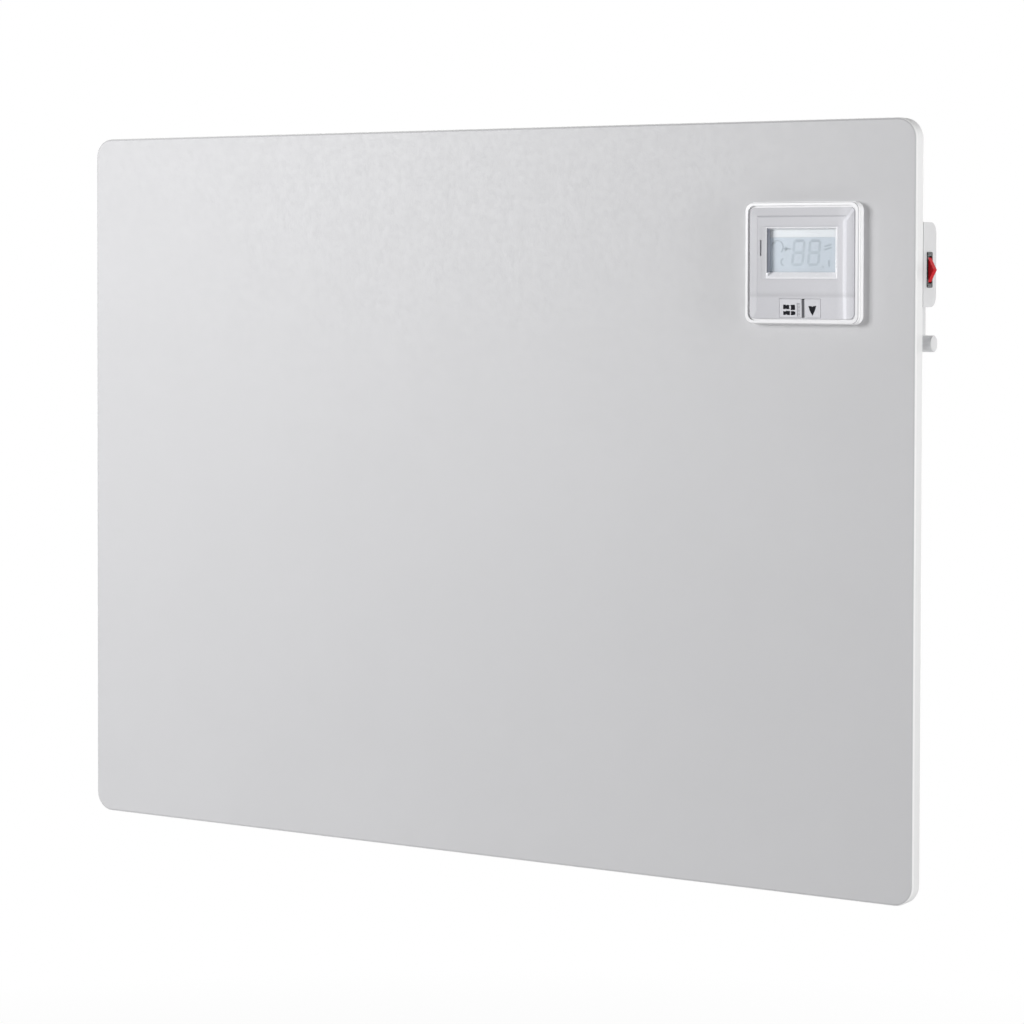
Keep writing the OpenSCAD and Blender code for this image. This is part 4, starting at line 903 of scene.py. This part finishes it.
def small_signs():
    """The small signs round the figures: an open ring, an arrow, strokes and a point."""
    width = 1.3
    return [
        arc_outline(-22.6, 12.4, 5.0, width, -55, 62),
        arc_outline(-22.6, 12.4, 5.0, 0.9, 70, 165),
        bar_outline(-27.4, 15.6, -23.8, 15.6, width),
        bar_outline(-17.4, 11.0, -10.4, 11.0, width),
        bar_outline(-16.4, 12.9, -14.2, 11.0, width),
        bar_outline(-16.4, 9.1, -14.2, 11.0, width),
        arc_outline(-16.8, 0.8, 2.6, width, 100, 260),
        bar_outline(17.5, 12.6, 24.0, 14.4, 1.4),
        bar_outline(17.5, 10.2, 24.0, 12.0, 1.4),
        bar_outline(21.7, 2.6, 22.0, -3.2, 1.7),
        bar_outline(15.8, -2.9, 17.6, -2.9, 1.8),
    ]


def window_marks():
    """Four small panes in two rows, with a notch in each."""
    return [
        rounded([(-15.2, -32.0), (-12.9, -32.0), (-12.5, -32.9), (-12.0, -32.0), (-9.5, -32.4),
                 (-10.1, -33.8), (-9.5, -35.4), (-12.2, -35.6), (-12.7, -34.9), (-13.2, -35.6),
                 (-15.2, -35.4)], 0.35),
        rounded([(-8.9, -32.2), (-5.0, -32.0), (-4.8, -36.0), (-8.8, -36.2), (-8.3, -33.9)], 0.5),
        rounded([(-15.3, -36.9), (-13.2, -37.3), (-12.4, -36.7), (-9.3, -36.9), (-9.5, -40.1),
                 (-12.0, -40.0), (-12.6, -39.0), (-13.1, -40.0), (-15.1, -40.0)], 0.35),
        rounded([(-8.8, -37.1), (-6.6, -36.9), (-4.7, -37.5), (-4.8, -39.7), (-6.8, -40.2),
                 (-8.9, -39.9), (-8.3, -38.5)], 0.5),
    ]


def arrow_mark():
    """A triangle that points down, nicked at its top."""
    top = [(6.6, -32.9), (9.4, -33.1), (9.9, -33.8), (10.5, -33.1), (13.3, -32.7)]
    return rounded(top + [(12.1, -36.4), (9.9, -40.5), (7.6, -36.5)], 0.35)


def rounded(points, radius):
    """An outline with each corner cut by a short arc of three steps."""
    arcs = []
    for i, corner in enumerate(points):
        here = Vector(corner)
        before = Vector(points[i - 1]) - here
        after = Vector(points[(i + 1) % len(points)]) - here
        cut = min(radius, before.length / 2.2, after.length / 2.2)
        a, b = here + before.normalized() * cut, here + after.normalized() * cut
        for t in (0, 1 / 3, 2 / 3, 1):
            arcs.append(tuple((1 - t) ** 2 * a + 2 * t * (1 - t) * here + t ** 2 * b))
    return arcs


class HEATER_OT_front_panel(Operator):
    """Enamels the folded front sheet"""

    bl_idname = "heater.front_panel"
    bl_label = "Front panel"

    def execute(self, context):
        dress(enamel(context.scene.heater_panel), "front_panel")
        return {"FINISHED"}


class HEATER_OT_heating_layers(Operator):
    """Finishes the mat, busbars, foil and board behind the front sheet"""

    bl_idname = "heater.heating_layers"
    bl_label = "Heating layers"

    def execute(self, context):
        dress(printed_film(), "heating_mat")
        dress(plated("busbar_copper", shade(201, 132, 92), 0.28), "busbars")
        dress(crinkled_foil(), "reflector_foil")
        dress(mineral_wool(), "insulation_board")
        return {"FINISHED"}


class HEATER_OT_rear_cover(Operator):
    """Finishes the galvanised rear cover and the thermostat's retainer plate"""

    bl_idname = "heater.rear_cover"
    bl_label = "Rear cover"

    def execute(self, context):
        look = context.scene.heater_panel
        dress(galvanised("rear_sheet", look, look.spangle), "rear_cover")
        dress(plated("fixings", STEEL, 0.3), "thermostat_retainer")
        return {"FINISHED"}


class HEATER_OT_wall_brackets(Operator):
    """Finishes the four wall brackets"""

    bl_idname = "heater.wall_brackets"
    bl_label = "Wall brackets"

    def execute(self, context):
        look = context.scene.heater_panel
        places = ("top_left", "top_right", "bottom_left", "bottom_right")
        sheet = galvanised("bracket_sheet", look, look.spangle * BRACKET_SPANGLE)
        dress(sheet, *("bracket_" + place for place in places))
        return {"FINISHED"}


class HEATER_OT_control_box(Operator):
    """Finishes the control box, its lid and what is inside it"""

    bl_idname = "heater.control_box"
    bl_label = "Control box"

    def execute(self, context):
        look = context.scene.heater_control
        dress(moulded("box_plastic", look.box, look.grain, 0.5), "control_box", "box_lid")
        dress(moulded("terminal_plastic", shade(238, 235, 222), look.grain, 0.45), "terminal_block")
        leads = ("element_leads", "switch_leads", "thermostat_leads")
        dress(sleeve("lead_sleeve", shade(224, 219, 206)), *leads)
        dress(sleeve("earth_sleeve", shade(92, 158, 52), shade(226, 204, 40)), "earth_lead")
        dress(plated("contact_brass", BRASS, 0.25), "switch_tabs")
        dress(moulded("gland_nylon", look.black, look.grain, 0.48), "cord_gland", "gland_nut")
        return {"FINISHED"}


class HEATER_OT_edge_controls(Operator):
    """Finishes the rocker switch and the push cap at the panel's edge"""

    bl_idname = "heater.edge_controls"
    bl_label = "Edge controls"

    def execute(self, context):
        look = context.scene.heater_control
        dress(polished("switch_black", look.black, 0.26), "switch_body", "overheat_cutout")
        dress(polished("rocker_red", look.red, 0.58, Specular_IOR_Level=0.1), "switch_rocker")
        dress(cap_plastic(look), "reset_cap")
        return {"FINISHED"}


class HEATER_OT_thermostat(Operator):
    """Finishes the thermostat's outside, its boards and its relay"""

    bl_idname = "heater.thermostat"
    bl_label = "Thermostat"

    def execute(self, context):
        look = context.scene.heater_thermostat
        # The plinth takes the side colour, painted paler for the light on it
        dress(polished("rim_plastic", look.side, 0.32), "thermostat_base")
        dress(bead(look), "thermostat_ring")
        dress(lacquer("fascia_plastic", look.plate, fascia_light_and_shade), "fascia")
        dress(lacquer("key_plastic", look.key, key_edge_shade), "left_button", "right_button")
        dress(moulded("keypad_rubber", shade(80, 80, 86), 0.4 * MM, 0.6), "keypad")
        dress(well_plastic(look), "display_frame")
        dress(circuit_mask(), "control_board", "power_board")
        dress(polished("relay_case", shade(52, 84, 152), 0.3), "power_relay")
        dress(moulded("terminal_green", shade(62, 122, 84), 0.4 * MM, 0.45), "thermostat_terminals")
        return {"FINISHED"}


class HEATER_OT_display(Operator):
    """Builds the cell, its holder, its segments and the strip of painted shade at the window's left side
    """

    bl_idname = "heater.display"
    bl_label = "Display"

    def execute(self, context):
        look = context.scene.heater_thermostat
        dress(window_plastic(), "display_lens")
        low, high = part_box("display_module")
        band_z = DIAL.z + look.band_foot
        self.holder(low, high, band_z, polished("holder_plastic", look.band, 0.3))
        self.cell(low, high, band_z, liquid_crystal(look))
        self.segments(low.y + CELL_SUNK, look)
        self.shade_strip(painted_shade_strip(look))
        return {"FINISHED"}

    def holder(self, low, high, band_z, material):
        """White tray behind and round the cell, with the broad band that shows above it, its white a
        painted reflection.
        """
        builder = bmesh.new()
        front, back = low.y + HOLDER_SUNK, low.y + TRAY_SUNK
        left, right = low.x + TRAY_LIP, high.x - TRAY_LIP
        solid(builder, (low.x, back, low.z), high)
        # The broad band above the cell, whose white is a painted reflection
        solid(builder, (low.x, front, band_z), (high.x, back, high.z))
        solid(builder, (low.x, front, low.z), (left, back, band_z))
        solid(builder, (right, front, low.z), (high.x, back, band_z))
        solid(builder, (left, front, low.z), (right, back, low.z + TRAY_LIP))
        add_built("cell_holder", builder, material, BODY, "display_cell", ["display_module"])

    def cell(self, low, high, band_z, material):
        """Liquid crystal cell that lies in the tray."""
        builder = bmesh.new()
        solid(builder, (low.x + CELL_INSET, low.y + CELL_SUNK, low.z + CELL_INSET),
              (high.x - CELL_INSET, low.y + CELL_BACK, band_z - CELL_GAP))
        add_built("display_cell", builder, material, BODY, "display_cell")

    def segments(self, cell_y, look):
        """Two figures with seven bars each, and the small signs round them."""
        builder = bmesh.new()
        bars = [bar for middle in FIGURE_MIDDLES for bar in figure_bars(*middle, look)]
        for bar in bars + small_signs():
            prism(builder, [on_dial(x, z) for x, z in bar], lambda x, z: cell_y, *SEGMENT_FILM)
        add_built("display_segments", builder, resting_segments(look), BODY, "display_cell")

    def shade_strip(self, material):
        """Thin strip of painted shade on the window's steep left side, from the lip down to the lens."""
        lip_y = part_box("fascia")[0].y + SHADE_STRIP_HELD
        lens_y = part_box("display_lens")[0].y - SHADE_STRIP_HELD
        outer, foot, top = WINDOW_OUTER
        inner, low, high = WINDOW_INNER
        corners = [
            (*on_dial(outer, foot), lip_y), (*on_dial(inner, low), lens_y),
            (*on_dial(inner, high), lens_y), (*on_dial(outer, top), lip_y),
        ]
        builder = bmesh.new()
        plate(builder, *([(x + side, y, z) for x, z, y in corners] for side in SHADE_STRIP_SIDES))
        add_built("window_gasket", builder, material, BODY, "keypad_rubber")


class HEATER_OT_key_marks(Operator):
    """Prints the marks on the two keys, with the row of ticks beside the left one"""

    bl_idname = "heater.key_marks"
    bl_label = "Key marks"

    def execute(self, context):
        look = context.scene.heater_thermostat
        ink = moulded("key_ink", look.ink, 0.3 * MM, 0.8, 0.2, Specular_IOR_Level=0.1)
        grey = moulded("tick_grey", look.tick, 0.3 * MM, 0.5)
        line = [(-3.3, -41.0), (-2.9, -41.0), (-2.9, -30.7), (-3.3, -30.7)]
        self.mark("left_key_mark", window_marks(), "left_button", "left_key", ink)
        self.mark("right_key_mark", [arrow_mark()], "right_button", "right_key", ink)
        self.mark("left_key_line", [line], "left_button", "left_key", grey)
        self.ticks(look.tick_count, grey)
        return {"FINISHED"}

    def mark(self, name, outlines, node, body, ink):
        """Printed shapes that lie on a key."""
        builder = bmesh.new()
        surface = surface_of(node)
        for outline in outlines:
            points = [on_dial(x, z) for x, z in outline]
            prism(builder, points, lambda x, z: front_at(surface, x, z), *PRINTED_INK)
        add_built(name, builder, ink, body, "key_plastic")

    def ticks(self, count, grey):
        """A row of short ticks beside the line, down the slope of the key."""
        surface = surface_of("left_button")
        places = [on_dial(x, z) for x, z in TICK_MIDDLES]
        first, last = (Vector((x, front_at(surface, x, z), z)) for x, z in places)
        grow("left_key_ticks", tick_growth(), [first], {
            "Count": count, "Step": (last - first) / (count - 1), "Size": Vector(TICK_SIZE) * MM,
        }, grey, "left_key", "key_plastic")


class HEATER_OT_fixings(Operator):
    """Makes the screws with a cross recess, the domed rivets and the gland's grip ribs"""

    bl_idname = "heater.fixings"
    bl_label = "Fixings"

    def execute(self, context):
        zinc = plated("zinc_fixings", STEEL, 0.3)
        brass = plated("brass_fixings", BRASS, 0.25)
        screws = screw_growth()
        for node in ("cover_screws", "box_screws", "lid_screws"):
            self.headed(node, screws, 1, zinc, "fixings")
        self.headed("base_screws", screws, -1, zinc, "fixings")
        self.headed("earth_screw", screws, 1, brass, "contact_brass")
        self.headed("bracket_rivets", rivet_growth(), 1, zinc, "fixings")
        self.ribs(context.scene.heater_control)
        return {"FINISHED"}

    def headed(self, node, tree, outward, material, slot):
        """Puts a detailed fastener wherever a node holds a plain one."""
        pins = islands(node)
        grow("detailed_" + node, tree, [head_top(pin, outward) for pin in pins],
             turned_sizes(pins[0], outward), material, BODY, slot, [node])

    def ribs(self, look):
        """Fine grip ribs round the gland's dome."""
        low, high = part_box("cord_gland")
        middle = (low + high) / 2
        grow("gland_ribs", rib_growth(), [(middle.x, middle.y, low.z + RIB_FOOT)], {
            "Count": 28, "Radius": 8.0 * MM, "Rib": 0.3 * MM, "Height": 7.6 * MM,
        }, moulded("gland_rib_nylon", look.black, look.grain, 0.48), BODY, "gland_nylon")


class HEATER_OT_studio(Operator):
    """Sets the floor, the lamps and the camera"""

    bl_idname = "heater.studio"
    bl_label = "Studio"

    def execute(self, context):
        look = context.scene.heater_studio
        context.scene.view_settings.view_transform = "Standard"
        self.world(context, look)
        self.floor(look)
        for name, lamp in LAMPS.items():
            self.lamp(name + "_lamp", *lamp, getattr(look, name))
        self.camera(context)
        return {"FINISHED"}

    def world(self, context, look):
        """White where the camera, gloss or glass looks, and a plain ambient light elsewhere."""
        world = bpy.data.worlds.new("studio_white")
        context.scene.world = world
        world.use_nodes = True
        web = Web()
        web.tree = world.node_tree
        path = web.node("ShaderNodeLightPath").outputs
        shiny = web.maths("MAXIMUM", path["Is Glossy Ray"], path["Is Transmission Ray"])
        seen = web.maths("MAXIMUM", path["Is Camera Ray"], shiny)
        strength = web.out("ShaderNodeMapRange", {0: seen, 3: look.ambient, 4: 1.0})
        background = web.tree.nodes["Background"]
        background.inputs[0].default_value = (1, 1, 1, 1)
        web.tree.links.new(strength, background.inputs[1])

    def floor(self, look):
        """A wide round floor that keeps the shadow under the panel and fades to white."""
        builder = bmesh.new()
        bmesh.ops.create_circle(builder, cap_ends=True, radius=FLOOR_RADIUS, segments=96)
        floor = in_scene("floor", mesh_of(builder, "floor"))
        floor.location.z = CAD_BOX[0].z - look.drop
        made = Finish("floor_paint", look.floor, 0.9)
        distance = made.node("ShaderNodeVectorMath", {0: made.place}, operation="LENGTH").outputs["Value"]
        seen = made.node("ShaderNodeLightPath").outputs["Is Camera Ray"]
        white = made.out("ShaderNodeEmission", {"Color": (1, 1, 1, 1), "Strength": 1.0})
        share = made.times(seen, made.ramp(distance, *FLOOR_FADE, FLOOR_WHITE, 1.0))
        mixed = made.out("ShaderNodeMixShader", {0: share, 1: made.shader.outputs[0], 2: white})
        made.tree.links.new(mixed, made.tree.nodes["Material Output"].inputs[0])
        floor.data.materials.append(made.material)

    def lamp(self, name, place, aim, width, height, power):
        """A soft lamp that faces a point."""
        light = bpy.data.lights.new(name, "AREA")
        light.shape = "RECTANGLE"
        light.size, light.size_y = width, height
        light.energy = power
        lamp = in_scene(name, light)
        lamp.location = place
        lamp.rotation_euler = (Vector(aim) - Vector(place)).to_track_quat("-Z", "Y").to_euler()

    def camera(self, context):
        """The photograph's viewpoint, with its long lens and its lowered frame."""
        lens = bpy.data.cameras.new("camera")
        lens.sensor_width = 36
        lens.lens = CAMERA_LENS
        lens.shift_y = CAMERA_SHIFT
        lens.clip_end = 50
        camera = in_scene("camera", lens)
        turn = Matrix.Rotation(CAMERA_TURN, 4, "Z") @ Matrix.Rotation(math.pi / 2 + CAMERA_TILT, 4, "X")
        placed = Matrix.Translation(CAMERA_PLACE) @ turn
        camera.matrix_world = placed @ Matrix.Rotation(CAMERA_ROLL, 4, "Z")
        context.scene.camera = camera


STEPS = (
    HEATER_OT_front_panel,
    HEATER_OT_heating_layers,
    HEATER_OT_rear_cover,
    HEATER_OT_wall_brackets,
    HEATER_OT_control_box,
    HEATER_OT_edge_controls,
    HEATER_OT_thermostat,
    HEATER_OT_display,
    HEATER_OT_key_marks,
    HEATER_OT_fixings,
    HEATER_OT_studio,
)
LOOKS = {
    "heater_panel": PanelLook,
    "heater_thermostat": ThermostatLook,
    "heater_control": ControlLook,
    "heater_studio": StudioLook,
}


class VIEW3D_PT_heater(Panel):
    """Sizes, colours and steps of the heater"""

    bl_idname = "VIEW3D_PT_heater"
    bl_label = "Infrared panel heater"
    bl_space_type = "VIEW_3D"
    bl_region_type = "UI"
    bl_category = "Heater"

    def draw(self, context):
        for key in LOOKS:
            box = self.layout.box()
            look = getattr(context.scene, key)
            for name in look.bl_rna.properties.keys():
                if name not in {"rna_type", "name"}:
                    box.prop(look, name)
        for step in STEPS:
            self.layout.operator(step.bl_idname)


def register():
    """Makes the settings, the steps and the panel known."""
    for look in LOOKS.values():
        bpy.utils.register_class(look)
    for step in STEPS:
        bpy.utils.register_class(step)
    bpy.utils.register_class(VIEW3D_PT_heater)
    for key, look in LOOKS.items():
        setattr(bpy.types.Scene, key, PointerProperty(type=look))


def unregister():
    """Takes back what register made known."""
    for key in LOOKS:
        delattr(bpy.types.Scene, key)
    bpy.utils.unregister_class(VIEW3D_PT_heater)
    for made in (*STEPS, *LOOKS.values()):
        bpy.utils.unregister_class(made)


def main():
    """Runs every step."""
    register()
    for step in STEPS:
        family, name = step.bl_idname.split(".")
        getattr(getattr(bpy.ops, family), name)()
    bpy.context.view_layer.update()


if __name__ == "__main__":
    main()
